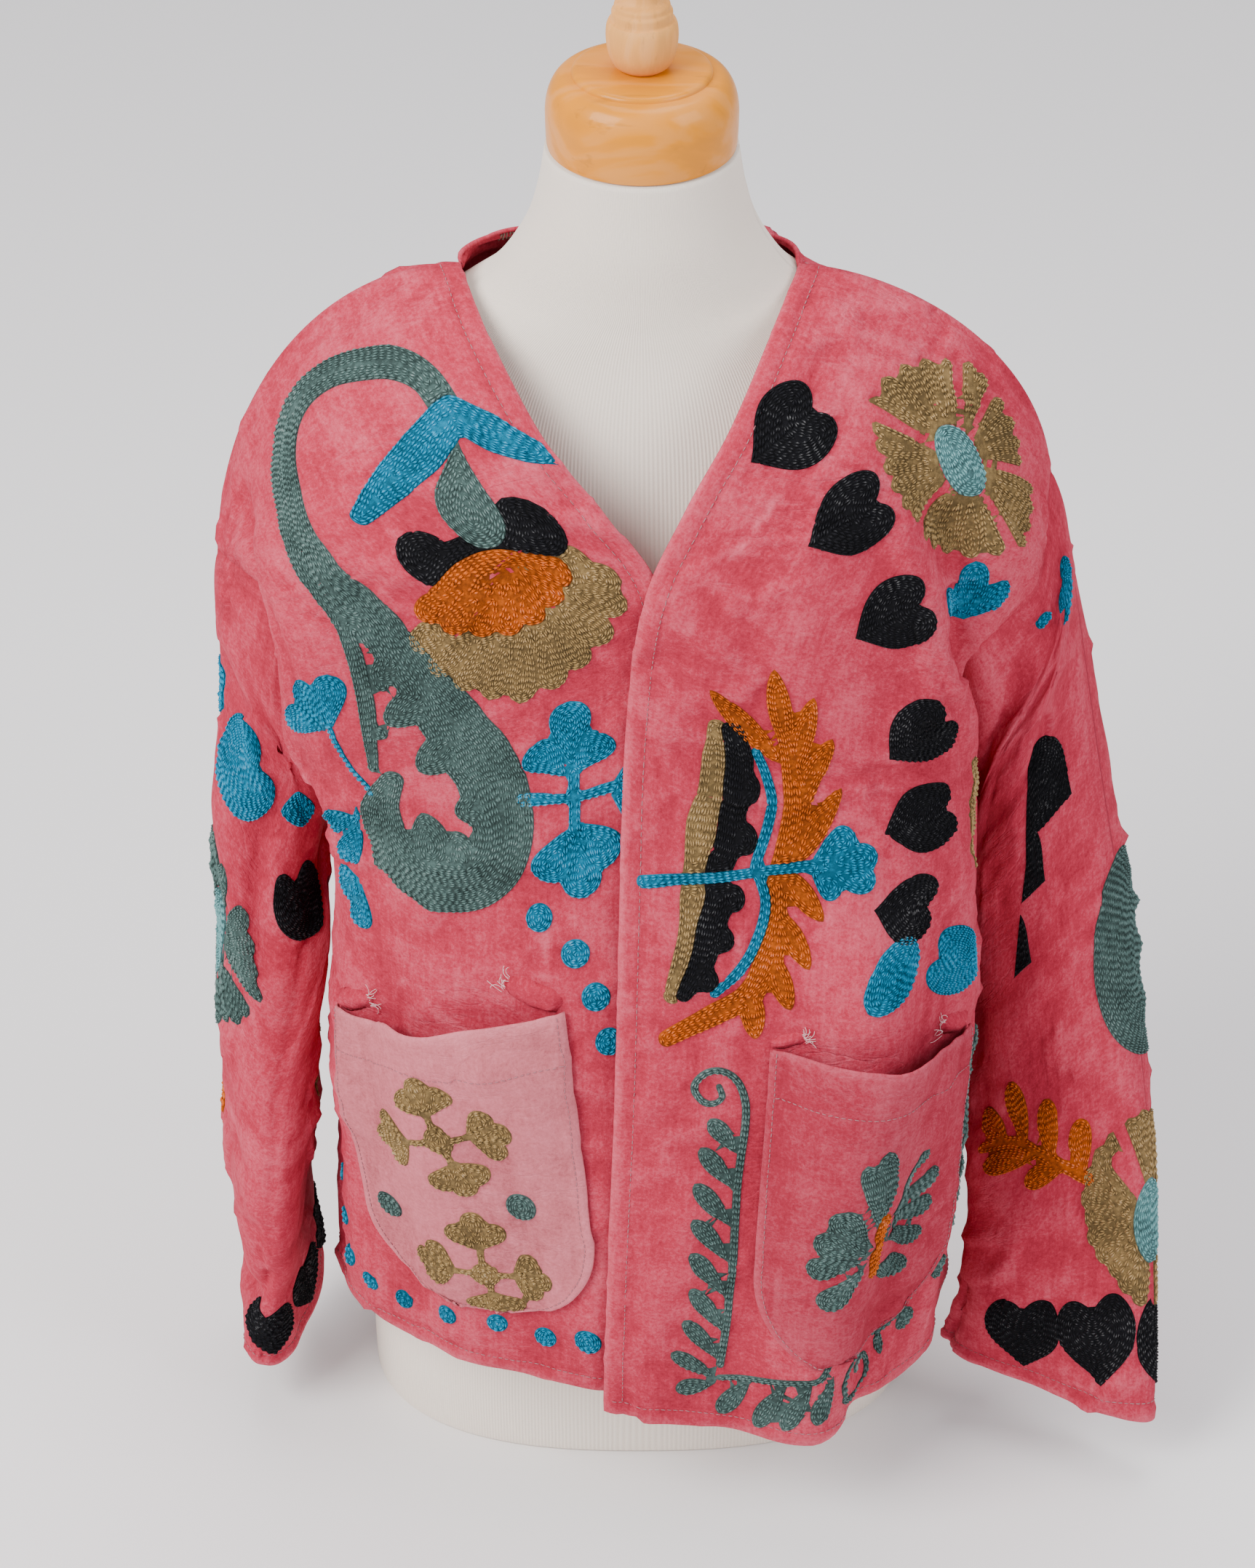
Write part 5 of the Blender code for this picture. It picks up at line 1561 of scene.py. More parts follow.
def flower(centre, end, half_width, width, *groups):
    """An oval heart, groups of petals round it given by their ends, and the gaps between groups."""
    heart_of = oval(centre, end, half_width)
    rays = [shape for ends in groups for shape in petals(centre, ends, width, 0.8)]
    gaps = []
    for one, other in zip(groups, [*groups[1:], groups[0]]):
        between = (np.array(one[-1], float) + other[0]) / 2.0
        gaps.append(band([centre, (between + centre) / 2.0, between + (between - centre) * 0.3],
            [3.5, 4.5, 9]))
    return [heart_of], rays, [heart_of, *gaps]


def around(centre, radius, count, petals_each, gap, turn=0.0):
    """Groups of petal ends on a circle, with a gap in degrees between groups."""
    groups = []
    for k in range(count):
        middle = math.radians(turn + k * 360.0 / count)
        half = math.radians(180.0 / count - gap / 2.0)
        angles = middle + np.linspace(-half, half, petals_each)
        groups.append([(centre[0] + radius * math.cos(a), centre[1] + radius * math.sin(a)) for a in angles])
    return groups


def vine(line, width, bases, tips, leaf_width):
    """A stem with leaves: one band, and a leaf from each base to its tip."""
    return [band(line, width), *(leaf(a, b, leaf_width, 0.66, 0.5) for a, b in zip(bases, tips))]


# The embroidery, piece by piece. Each row is a colour, the outlines that are sewn as one, and, where
# something covers it, the outlines of that.
def motifs_front_left():
    """Hearts, an open flower, an orange branch with its bow and arrow, and a leafy border."""
    pocket = [pocket_outline(LEFT_POCKET)]
    centre, rays, bare = flower(
        (123, 592), (143, 581), 11.5, 11,
        [(58, 601), (60, 613), (67, 624), (77, 633), (88, 639)],
        [(101, 646), (112, 647)],
        [(130, 641), (143, 635), (154, 625), (161, 614)],
        [(181, 605), (187, 593), (190, 581), (191, 569)],
        [(180, 556), (169, 549), (156, 545), (142, 544), (129, 547)],
        [(111, 554), (99, 559), (88, 566), (79, 574), (70, 583), (64, 591)],
    )
    for tip, notch, width in (
        ((16, 557), (33, 587), 44), ((62, 530), (83, 557), 42), ((109, 490), (134, 514), 45),
        ((139, 413), (169, 441), 45), ((138, 368), (177, 378), 40), ((132, 331), (168, 325), 36),
    ):
        yield "black", [heart(tip, notch, width)]
    yield "blue", [leaf((130, 279), (161, 311), 31, 0.55, 0.45)]
    yield "blue", [heart((236, 262), (188, 290), 38)], pocket
    yield "pale_blue", centre
    yield "khaki", rays, bare
    yield "blue", tulip((200, 508), (172, 548), 40)

    stem = band([(81, 424), (88, 397), (90, 377), (85, 357), (81, 343), (79, 322), (77, 301),
        (67, 282), (50, 271), (26, 256)], [9, 13, 15, 12, 11, 15, 15, 13, 12, 9])
    bases = [(81, 403), (84, 410), (87, 392), (89, 376), (88, 350), (80, 352), (79, 330), (77, 308),
        (68, 290)]
    tips = [(40, 444), (71, 465), (94, 450), (107, 423), (114, 392), (105, 325), (99, 300),
        (90, 276), (72, 257)]
    bar = band([(11, 336), (34, 341), (59, 344), (76, 348), (100, 352)], [6, 5, 5, 5, 6])
    head = petals((95, 352), [(122, 369), (134, 358), (133, 345), (114, 339)], 15)
    bow = [band([(67, 409), (74, 393), (77, 382), (75, 368), (70, 352), (69, 346)], [5.5, 5.5, 5.5]),
           band([(71, 345), (75, 332), (72, 315), (64, 298), (50, 283)], [5.5, 5.5, 5.5])]
    yield "blue", [bar, *head, *bow]
    arrow = [bar, *head]
    yield "orange", [stem, *(leaf(a, b, 13, 0.52, 0.62) for a, b in zip(bases, tips))], [*arrow, *bow]
    strip = band([(54, 420), (59, 402), (59, 387), (57, 373), (56, 362), (51, 348), (50, 341),
        (51, 333), (47, 317), (43, 299), (34, 281)], [12, 15, 15, 14, 15, 14, 14, 15, 15, 13, 8])
    lobes = [dot((64, 387), 7), dot((63, 362), 7.5), dot((58, 333), 6.5), dot((53, 312), 6.5),
        dot((46, 290), 6)]
    yield "black", [strip, *lobes], arrow
    yield "khaki", [band([(46, 420), (47, 400), (45, 383), (41, 366), (39, 349), (38, 332),
        (36, 312), (28, 280)], [10, 15, 13, 16, 13, 15, 12, 9])], [strip, *arrow]

    spiral = [(54, 229), (56, 223), (52, 219), (46, 220), (41, 228), (45, 236), (54, 239), (63, 233),
              (68, 221), (69, 207), (68, 188), (67, 166), (67, 141), (67, 116), (66, 92), (65, 68), (63, 43)]
    bases = [(66, 186), (66, 163), (66, 139), (66, 115), (66, 91), (66, 67), (64, 46), (62, 33), (61, 30)]
    tips = [(50, 210), (46, 190), (44, 168), (44, 146), (44, 122), (45, 97), (42, 75), (36, 51), (39, 24)]
    yield "grey_green", vine(spiral, [3.4, 4, 4.4, 4.6, 4.6], bases, tips, 11)
    hem = [(63, 34), (78, 36), (92, 39), (107, 43), (119, 46), (125, 57)]
    bases = [(80, 35), (101, 40), (115, 44), (127, 47)]
    tips = [(63, 10), (84, 6), (100, 9), (118, 14)]
    yield "grey_green", vine(hem, [4, 4, 4], bases, tips, 11.5), pocket
    stem = [(227, 222), (227, 200), (226, 178), (225, 155), (223, 131), (220, 108), (214, 90),
        (206, 74), (196, 61), (184, 53), (171, 49), (158, 51), (146, 47), (138, 36), (137, 24),
        (145, 15), (157, 15), (166, 23), (165, 33), (157, 37), (151, 31)]
    bases = [(227, 196), (226, 176), (225, 155), (223, 134), (220, 112), (214, 91)]
    tips = [(245, 217), (247, 198), (247, 177), (246, 155), (243, 133), (237, 112)]
    ends = [dot((216, 71), 7), dot((193, 45), 7), leaf((172, 49), (176, 29), 6)]
    yield "grey_green", [*vine(stem, [3.4, 4, 5, 4, 4, 3.6], bases, tips, 12.5), *ends], pocket
    side = [(212, 402), (218, 385), (214, 368), (222, 350), (218, 332)]
    yield "khaki", [band(side, [9, 14, 12, 15, 8]), dot((208, 372), 6), dot((210, 346), 5)]


def motifs_front_right():
    """A hooked toothed band with its hanging flower, a cross of small sprigs, and dots."""
    pocket = [pocket_outline(RIGHT_POCKET)]
    hook = band([(35, 566), (38, 584), (49, 596), (65, 603), (84, 609), (104, 609), (121, 600),
        (132, 582), (139, 557), (145, 534), (148, 513), (149, 492)],
        [16, 16, 17, 17, 17, 18, 19, 19, 20, 23, 27, 29])
    branch = band([(156, 500), (159, 475), (159, 450), (158, 425), (159, 388)], [15, 10, 9, 10, 6])
    body = band([(145, 505), (139, 470), (127, 442), (114, 414), (101, 388), (92, 364), (88, 345),
        (93, 328), (106, 318), (125, 318), (143, 327), (155, 342), (158, 360), (150, 378)],
        [24, 25, 27, 33, 36, 34, 31, 31, 31, 32, 30, 28, 24, 15])
    teeth = [leaf((128, 462), (153, 445), 19, 0.5, 0.5), leaf((117, 438), (149, 418), 22, 0.5, 0.5),
        leaf((106, 408), (134, 384), 23, 0.5, 0.5), leaf((94, 364), (115, 358), 18, 0.5, 0.6),
        leaf((124, 326), (134, 358), 24, 0.4, 0.6), leaf((104, 326), (116, 348), 17, 0.45, 0.6),
        leaf((152, 450), (146, 438), 9), leaf((158, 418), (149, 408), 9)]
    wings = [band([(37, 566), (57, 556), (79, 547), (107, 534)], [16, 19, 17, 8]),
        band([(33, 567), (22, 556), (11, 547), (-4, 538)], [16, 18, 14, 5])]
    yield "blue", wings
    drop = leaf((38, 558), (66, 510), 27, 0.70, 0.62)
    yield "grey_green", [drop], wings
    ends = [(120, 480), (110, 471), (96, 466), (81, 464), (66, 468), (50, 477), (36, 490)]
    ridge = band([(102, 492), (80, 501), (59, 504), (38, 497)], [8, 9, 9, 8])
    half_moon = [ridge, *petals((60, 505), ends, 15, 0.78)]
    beans = band([(91, 508), (80, 505), (66, 510), (52, 513), (36, 515)], [30, 22, 14, 20, 29])
    yield "orange", half_moon
    yield "black", [beans], [drop, *half_moon]
    ends = [(129, 462), (121, 445), (108, 432), (94, 424), (78, 420), (60, 425), (45, 436),
        (30, 450), (18, 468), (15, 484), (22, 496)]
    yield "khaki", petals((64, 500), ends, 17.5, 0.8), [*half_moon, beans]
    yield "grey_green", [hook, branch, body, *teeth], wings

    yield "blue", petals((180, 412), [(203, 446), (177, 452), (220, 422)], 21)
    yield "blue", [band([(182, 418), (176, 391), (162, 369)], [3.5, 3, 3])]
    yield "blue", petals((172, 350), [(201, 343), (186, 316), (178, 352)], 19)
    yield "blue", petals((175, 306), [(191, 290), (178, 272), (193, 304)], 17)
    cross = [band([(80, 362), (55, 360), (30, 362)], [6, 5, 5]), band([(52, 372), (51, 344)], [6, 6])]
    above = petals((53, 368), [(53, 416), (75, 390), (35, 392)], 22)
    below = petals((51, 350), [(67, 320), (45, 310), (30, 326)], 21)
    yield "blue", [*cross, *above, *below]
    yield "blue", petals((36, 361), [(6, 374), (2, 358), (10, 344)], 17)
    for place, radius in (((68, 301), 7), ((49, 281), 7.6), ((38, 257), 7.6), ((31, 231), 7.2),
            ((43, 36), 7.8), ((68, 31), 6.4), ((95, 37), 6), ((125, 34), 6), ((157, 28), 6),
            ((180, 31), 6), ((197, 40), 6), ((206, 62), 5.6), ((216, 86), 5.4), ((224, 112), 5.4)):
        yield "blue", [dot(place, radius)], pocket


def motifs_pocket_left():
    """A spread of grey-green petals round an orange bar."""
    bar = band([(-3, 73), (-8, 114)], [9, 8])
    ends = [(-26, 155), (-15, 163), (28, 149), (45, 123), (45, 100), (40, 77)]
    rays = petals((-7, 96), ends, 13.5, 0.78)
    ends = [(-38, 124), (-44, 106), (-44, 84), (-33, 56)]
    rays += [*petals((-6, 90), ends, 17.5, 0.78), leaf((-1, 73), (31, 57), 17, 0.6, 0.5)]
    yield "orange", [bar]
    yield "grey_green", rays, [bar]


def clover(centre, arms, width):
    """A round middle with three petals on each of its arms."""
    start = np.array(centre, float)
    shapes = [dot(centre, 8)]
    for arm in np.array(arms, float):
        axis = arm - start
        side = np.array([-axis[1], axis[0]]) / np.linalg.norm(axis) * width / 2.0
        base = start + axis * 0.34
        ends = [arm, start + axis * 0.80 + side, start + axis * 0.80 - side]
        shapes += [band([centre, base], [4, 4]), *petals(base, ends, width * 0.52)]
    return shapes


def motifs_pocket_right():
    """Two clover crosses and two dots."""
    yield "khaki", clover((2, 132), [(10, 172), (-41, 138), (-7, 92), (52, 120)], 30)
    yield "khaki", clover((-7, 37), [(-5, 81), (-45, 36), (-12, 0), (34, 42)], 28)
    yield "grey_green", [dot((53, 66), 8.5)]
    yield "grey_green", [dot((-35, 87), 8.5)]


def motifs_sleeve_left():
    """Hearts down the sleeve and round the cuff, a round, a sprig and an open flower."""
    fold = [mm((60, 100), (120, 100), (120, 270), (82, 260), (64, 196))]
    for tip, notch in (((26, 186), (64, 152)), ((50, 216), (86, 182)), ((66, 254), (100, 224))):
        yield "black", [heart(tip, notch, 44)], fold
    yield "grey_green", [oval((-10, 285), (-4, 339), 35)]
    stem = [(119, 344), (92, 350), (68, 366), (40, 389)]
    bases = [(97, 350), (82, 358), (62, 370), (44, 386), (72, 364), (54, 376)]
    tips = [(122, 320), (94, 312), (68, 333), (45, 353), (118, 356), (84, 376)]
    yield "orange", vine(stem, [7, 7, 7], bases, tips, 15)
    centre, rays, bare = flower(
        (2, 420), (2, 440), 13, 14,
        [(44, 406), (46, 394), (43, 383), (36, 374), (27, 369)],
        [(14, 366), (4, 365), (-8, 367)],
        [(43, 418), (38, 430), (30, 440), (22, 450), (12, 458)],
        [(-4, 462), (-15, 458), (-26, 450)],
        [(-22, 376), (-32, 386), (-40, 398), (-44, 412), (-40, 428), (-34, 440)],
    )
    yield "pale_blue", centre
    yield "khaki", rays, bare
    for tip, notch in (((81, 502), (81, 461)), ((33, 497), (39, 459)), ((-12, 503), (-8, 463)),
            ((-60, 502), (-56, 462)), ((-106, 502), (-102, 462))):
        yield "black", [heart(tip, notch, 46)], [*centre, *rays]
    yield "blue", tulip((24, 52), (54, 36), 30)
    yield "blue", [leaf((62, 26), (74, 16), 9)]
    yield "blue", tulip((-70, 90), (-110, 60), 46)
    yield "blue", [band([(-70, 90), (-66, 130), (-80, 170)], [4, 4, 4])]
    yield "black", [heart((-92, 215), (-72, 182), 42)]
    yield "grey_green", vine([(-60, 236), (-74, 270), (-66, 310), (-78, 346)], [5, 6, 5],
        [(-64, 246), (-71, 266), (-71, 288), (-67, 310), (-72, 330)],
        [(-42, 262), (-98, 280), (-44, 306), (-92, 326), (-50, 348)], 13)


def motifs_sleeve_right():
    """Blue leaves, an open flower half way down, and hearts at the cuff."""
    yield "blue", petals((26, 130), [(4, 108), (6, 122), (8, 138)], 15)
    yield "blue", [heart((36, 162), (66, 122), 50)]
    yield "blue", [leaf((94, 128), (118, 104), 20)]
    yield "black", [heart((158, 186), (126, 150), 42)]
    centre, rays, bare = flower(
        (66, 246), (68, 272), 13, 14,
        [(100, 192), (110, 202), (118, 212), (126, 222)],
        [(122, 238), (118, 250), (108, 262), (100, 274)],
        [(82, 292), (68, 298), (54, 294), (42, 286)],
        [(24, 272), (16, 260), (12, 246), (14, 232)],
        [(30, 212), (42, 202), (56, 194), (72, 190)],
    )
    yield "pale_blue", centre
    yield "grey_green", rays, bare
    for across in (134, 180, 226):
        yield "black", [heart((across - 3, 496), (across + 1, 458), 42)]
    yield "orange", vine([(60, 330), (72, 362), (64, 396)], [6, 7, 6],
        [(64, 342), (70, 356), (72, 368), (68, 384)], [(88, 352), (46, 366), (94, 378), (44, 392)],
        10)
    yield "blue", tulip((-50, 120), (-82, 92), 38)
    yield "black", [heart((-96, 210), (-64, 186), 38)]
    yield "khaki", clover((-70, 320), [(-70, 360), (-34, 320), (-70, 282), (-106, 322)], 30)


def motifs_back():
    """A round flower between two vines, hearts across the shoulders, sprigs and hem dots."""
    middle = (0, 378)
    centre, rays, bare = flower(middle, (0, 400), 19, 15, *around(middle, 72, 6, 5, 14, 90.0))
    yield "pale_blue", centre
    yield "khaki", rays, bare
    for side in (-1.0, 1.0):
        def spot(x, y):
            return (side * x, y)

        for x, y in ((46, 560), (88, 548), (130, 530)):
            yield "black", [heart(spot(x, y - 20), spot(x + 9, y + 12), 42)]
        line = [spot(146, 440), spot(130, 400), spot(134, 360), spot(118, 320), spot(122, 280),
            spot(108, 240)]
        bases = [spot(139, 420), spot(131, 398), spot(133, 372), spot(128, 346), spot(119, 318),
            spot(121, 290), spot(115, 262)]
        tips = [spot(164, 432), spot(108, 408), spot(160, 384), spot(104, 352), spot(146, 328),
            spot(98, 296), spot(140, 270)]
        yield "grey_green", vine(line, [5, 7, 6, 7, 5], bases, tips, 13)
        yield "blue", tulip(spot(58, 236), spot(64, 276), 40)
        yield "blue", [band([spot(58, 238), spot(52, 200), spot(62, 160)], [4, 4, 4])]
        yield "blue", tulip(spot(57, 186), spot(28, 196), 28)
        yield "orange", vine([spot(150, 200), spot(128, 170), spot(118, 134)], [6, 9, 6],
            [spot(140, 190), spot(130, 174), spot(122, 156), spot(119, 142)],
            [spot(170, 180), spot(100, 184), spot(148, 142), spot(94, 146)], 13)
        for x in (24, 62, 100, 138, 176, 210):
            yield "blue", [dot(spot(x, 34 + 3 * math.sin(x)), 6)]
        yield "black", [heart(spot(196, 326), spot(178, 356), 42)]
    yield "blue", tulip((3, 556), (5, 600), 44)
    yield "blue", [band([(3, 558), (-2, 520), (1, 470)], [4, 4, 4])]
    yield "black", [heart((0, 114), (1, 148), 44)]


MOTIFS = {
    "front_left": motifs_front_left,
    "front_right": motifs_front_right,
    "back": motifs_back,
    "sleeve_left": motifs_sleeve_left,
    "sleeve_right": motifs_sleeve_right,
    "pocket_left": motifs_pocket_left,
    "pocket_right": motifs_pocket_right,
}


def embroider(name, panel, wools):
    """All wool on one panel, as one object for each colour."""
    heaps = {}
    for number, (colour, outlines, *cut) in enumerate(MOTIFS[name]()):
        heap = heaps.setdefault(colour, Heap())
        row = WOOL_ROW * (BACK_COARSER if name == "back" else 1.0)
        sew(heap, panel, outlines, cut[0] if cut else (), number, row)
    made = []
    for colour, heap in heaps.items():
        if heap.count:
            piece = heap.build(name + "_" + colour + "_wool", wools[colour])
            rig.ride(piece, "root")
            made.append(piece)
    return made


def line_across(panel, inset, trim=0.0):
    """A line across a panel, inset metres above its first row, or below its last if negative."""
    up = inset if inset > 0 else panel.heights[-1] + inset
    first, last = (np.interp(up, panel.heights, panel.widths[:, k]) for k in (0, -1))
    across = np.linspace(first + trim, last - trim, 200)
    return np.stack([across, np.full(200, up)], -1)


def line_up(panel, inset, trim=0.0):
    """A line up a panel, inset metres in from its first column, or from its last if negative."""
    up = np.linspace(trim, panel.heights[-1], 200)
    column = 0 if inset > 0 else -1
    across = np.interp(up, panel.heights, panel.widths[:, column]) + inset
    return np.stack([across, up], -1)


def seam_lines(name, panel):
    """The lines of topstitching on one panel."""
    if panel.round_piece:
        return [line_across(panel, -STITCH_INSET_CUFF)]
    if name == "back":
        neck = line_across(panel, -STITCH_INSET_EDGE)
        reach = panel.widths[-1, -1 - FINE_CELLS]
        return [line_across(panel, STITCH_INSET_HEM), neck[abs(neck[:, 0]) < reach]]
    if name.startswith("front"):
        hem = line_across(panel, STITCH_INSET_HEM, 0.004)
        return [hem, line_up(panel, STITCH_INSET_EDGE, STITCH_INSET_HEM)]
    sides = [line_up(panel, sign * STITCH_INSET_POCKET, 0.006) for sign in (1.0, -1.0)]
    foot = line_across(panel, STITCH_INSET_POCKET, 0.004)
    return [foot, *sides, line_across(panel, -POCKET_HEM, STITCH_INSET_POCKET)]


def topstitch(name, panel, material):
    """Runs of thread along a panel's stitch lines, as one object."""
    heap = Heap()
    for number, line in enumerate(seam_lines(name, panel)):
        middles, directions = even_steps(line, TOPSTITCH)
        add_stitches(heap, panel, RUN, RUN_FACES, middles, directions * 0.84, 0.0006,
            (-0.0001, 0.0005), number)
    return heap.build(name + "_topstitch", material)


# Loose corners of seam allowance above the pocket mouths. Each is a front, where it leaves the corner
# and where it ends in millimetres on that front, how wide it is and how high it stands.
TABS = (
    ("front_right", (56, 252), (86, 264), 15, 0.0042),
    ("front_right", (201, 215), (171, 228), 13, 0.0036),
    ("front_left", (219, 236), (192, 247), 13, 0.0040),
    ("front_left", (80, 254), (99, 262), 8, 0.0026),
)


def add_tab(number, material):
    """One loose corner: a crumpled fold of cloth, as a domed patch."""
    name, start, end, width, height = TABS[number]
    outline = leaf(start, end, width, 0.45, 0.35)
    x, y, field = field_of([outline])
    field = field + ripple(x, y, 70 + number, 0.009) * 0.0005
    heap = Heap()
    crumple = 1.0 + 0.25 * ripple(x, y, 80 + number, 0.012)
    add_patch(heap, PANELS[name], x, y, np.minimum(field * crumple, field + 0.002), height, 0.004)
    return heap.build("corner_tab_%d" % number, material)


def add_loose_threads(material):
    """Frayed ends of thread that curl out of the loose corners.

    Each is a curve that leaves its corner and turns by a growing angle, a little above the cloth.
    """
    random = np.random.default_rng(91)
    heap = Heap()
    for name, start, end, width, height in TABS:
        panel = PANELS[name]
        away = unit(np.array(end, float) - start)
        side = np.array([-away[1], away[0]])
        for _ in range(11):
            foot = mm(end)[0] + side * random.uniform(-0.4, 0.4) * width / 1000.0 - away * 0.002
            share = np.linspace(0.0, 1.0, 12)
            turn = random.uniform(-0.7, 0.7) + random.uniform(-2.4, 2.4) * share**1.5
            length = random.uniform(0.004, 0.011)
            steps = away * np.cos(turn)[:, None] + side * np.sin(turn)[:, None]
            places = foot + np.cumsum(steps, axis=0) * length / 12.0
            spots, normals = panel.at(places[:, 0], places[:, 1])
            lift = 0.0008 + height * 0.5 * (1.0 - share) + random.uniform(0.0, 0.002) * share
            spots = spots + normals * lift[:, None]
            along = unit(np.gradient(spots, axis=0))
            first = unit(np.cross(along, normals))
            second = np.cross(first, along)
            angle = np.arange(4) * math.pi / 2.0
            around = first[:, None] * np.cos(angle)[:, None] + second[:, None] * np.sin(angle)[:, None]
            vertices, groups = close_rings(spots[:, None] + around * 0.00016)
            heap.add(vertices, np.zeros((len(vertices), 2)), np.ones(len(vertices)), *groups)
    return heap.build("loose_threads", material)


def oversew_neck(material):
    """A patch of uneven whipstitches inside the back of the neck."""
    heap = Heap()
    panel = PANELS["back"]
    across = np.arange(-0.078, -0.040, 0.0021)
    middles = np.stack([across, panel.heights[-1] - 0.008 + 0.0012 * np.sin(across * 900.0)], -1)
    directions = np.tile([0.0016, 0.0105], (len(across), 1))
    add_stitches(heap, panel, RUN, RUN_FACES, middles, directions, 0.0011, (-0.0019, -0.0031), 5)
    return heap.build("neck_oversewing", material)


def circle(radius, height, sides=96):
    """A ring of points round the Z axis."""
    angle = np.arange(sides) * 2.0 * math.pi / sides
    return np.stack([radius * np.cos(angle), radius * np.sin(angle), np.full(sides, height)], -1)


def form_ring(level, sides=128):
    """A ring of the form: half an oval in front and half behind, each a power of an ellipse."""
    angle = np.arange(sides) * 2.0 * math.pi / sides
    depth = np.where(np.sin(angle) < 0, level.front, level.back)
    across = np.sign(np.cos(angle)) * abs(np.cos(angle)) ** level.roundness
    along = np.sign(np.sin(angle)) * abs(np.sin(angle)) ** level.roundness
    return np.stack([level.half_width * across, depth * along, np.full(sides, level.height)], -1)


def build_form(jersey_material, cap_material, finial_material):
    """The jersey torso, the varnished neck cap and the bare finial, each turned or lofted finely."""
    share = np.linspace(0.0, 1.0, 111)
    rows = [FormLevel(*row) for row in spline(FORM, share)]
    foot = rows[0]
    rounded = []
    for turn in np.linspace(0.0, math.pi / 2.0, 7)[:-1]:
        inset = FORM_BASE_ROUND * (1.0 - math.sin(turn))
        rounded.append(foot._replace(height=FORM_BASE_ROUND * (1.0 - math.cos(turn)),
            half_width=foot.half_width - inset, front=foot.front - inset, back=foot.back - inset))
    rows = rounded + [row for row in rows if row.height > FORM_BASE_ROUND]
    torso = add_lathe("jersey_torso", [form_ring(row) for row in rows], jersey_material)
    dress(torso, "form_body", "jersey")

    cap_foot = FORM_TOP + SEAM_GAP
    round_over = [
        (
            CAP_RIM_RADIUS + (CAP_RADIUS - CAP_RIM_RADIUS) * math.cos(a) ** 0.8,
            0.018 + (CAP_HEIGHT - 0.021) * math.sin(a),
        )
        for a in np.linspace(0.0, math.pi / 2.0 - 0.05, 28)
    ]
    foot_profile = [(CAP_RADIUS - turn.radius, turn.height) for turn in CAP_FOOT]
    rim_profile = [(CAP_RIM_RADIUS - turn.radius, CAP_HEIGHT - turn.height) for turn in CAP_RIM]
    profile = [*foot_profile, *round_over, *rim_profile, (CAP_RIM_RADIUS * 0.5, CAP_HEIGHT)]
    rings = [circle(radius, cap_foot + height) for radius, height in profile]
    dress(add_lathe("turned_cap", rings, cap_material, 40.0), "neck_cap", "cap_wood")

    finial_foot = cap_foot + CAP_HEIGHT + SEAM_GAP
    turns = [FINIAL[0], *FINIAL]
    shape = spline(turns, np.linspace(0.0, 1.0, 90))
    shape = shape[shape[:, 1] >= 0.0]
    shape = shape[np.concatenate([[True], np.diff(shape[:, 1]) > 1e-5])]
    rings = [circle(radius, finial_foot + height, 64) for radius, height in shape]
    dress(add_lathe("turned_finial", rings, finial_material, 40.0), "finial", "finial_wood")


def dress(piece, node, slot):
    """Makes a piece stand for a node, move with the part and take its finish from a slot."""
    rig.ride(piece, "root")
    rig.replaces(piece, node)
    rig.slot(piece, slot)


# One row is one cloth piece: its slot, how wide and long its cut is, the cut's area, and what it
# hangs on. Both sleeves are cut alike, and so are both fronts and both pockets.
CLOTHS = {
    "front_left": ("velvet", (0.320, 0.670), 0.182, ["jersey_torso"]),
    "front_right": ("velvet", (0.320, 0.670), 0.182, ["jersey_torso"]),
    "back": ("velvet", (0.620, 0.645), 0.300, ["jersey_torso"]),
    "sleeve_left": ("velvet", (0.420, 0.520), 0.145, ["velvet_front_left", "velvet_back"]),
    "sleeve_right": ("velvet", (0.420, 0.520), 0.145, ["velvet_front_right", "velvet_back"]),
    "pocket_left": ("pocket_velvet", (0.148, 0.206), 0.028, ["velvet_front_left"]),
    "pocket_right": ("pocket_velvet", (0.148, 0.206), 0.028, ["velvet_front_right"]),
}


CREASES = {
    "front_left": LEFT_FRONT_CREASES,
    "front_right": RIGHT_FRONT_CREASES,
    "back": BACK_CREASES,
    "sleeve_left": LEFT_SLEEVE_CREASES,
    "sleeve_right": RIGHT_SLEEVE_CREASES,
}

# What is sewn on each cloth piece, filled as it is made.
SEWN = {name: [] for name in CLOTHS}


def colour_setting(name, description, default):
    """A setting for a colour."""
    return bpy.props.FloatVectorProperty(name=name, description=description, default=default,
        subtype="COLOR", min=0.0, max=1.0)


def power_setting(name, description, default):
    """A setting for a light's power."""
    return bpy.props.FloatProperty(name=name, description=description, default=default,
        subtype="POWER", unit="POWER", min=0.0)


class VelvetSettings(bpy.types.PropertyGroup):
    """The velvet's colours and thickness."""

    # The shade and pale colours end the velvet's tone: beside its random mottle, the shade colour paints shade in the
    # folds' dips, and the pale colour a painted highlight on ridges and rolled edges.
    colour: colour_setting("Pile", "Velvet's main colour", (0.44, 0.030, 0.060))
    pale: colour_setting("Brushed pile", "Where the pile catches the light", (0.64, 0.108, 0.158))
    shade: colour_setting("Pressed pile", "Where the pile lies away from it", (0.25, 0.010, 0.023))
    # The pockets' velvet copies: the left one is darkened as painted shade, for a pocket turned away from the light;
    # the right one is paler.
    pocket_tone_and_shade: bpy.props.FloatVectorProperty(name="Pocket paleness",
        description="How much paler the left and right pockets are", size=2, default=(-0.22, 0.10),
        min=-1.0, max=1.0)
    thickness: bpy.props.FloatProperty(name="Thickness", description="Velvet with its backing",
        default=CLOTH, subtype="DISTANCE", unit="LENGTH", min=0.0005, max=0.004)


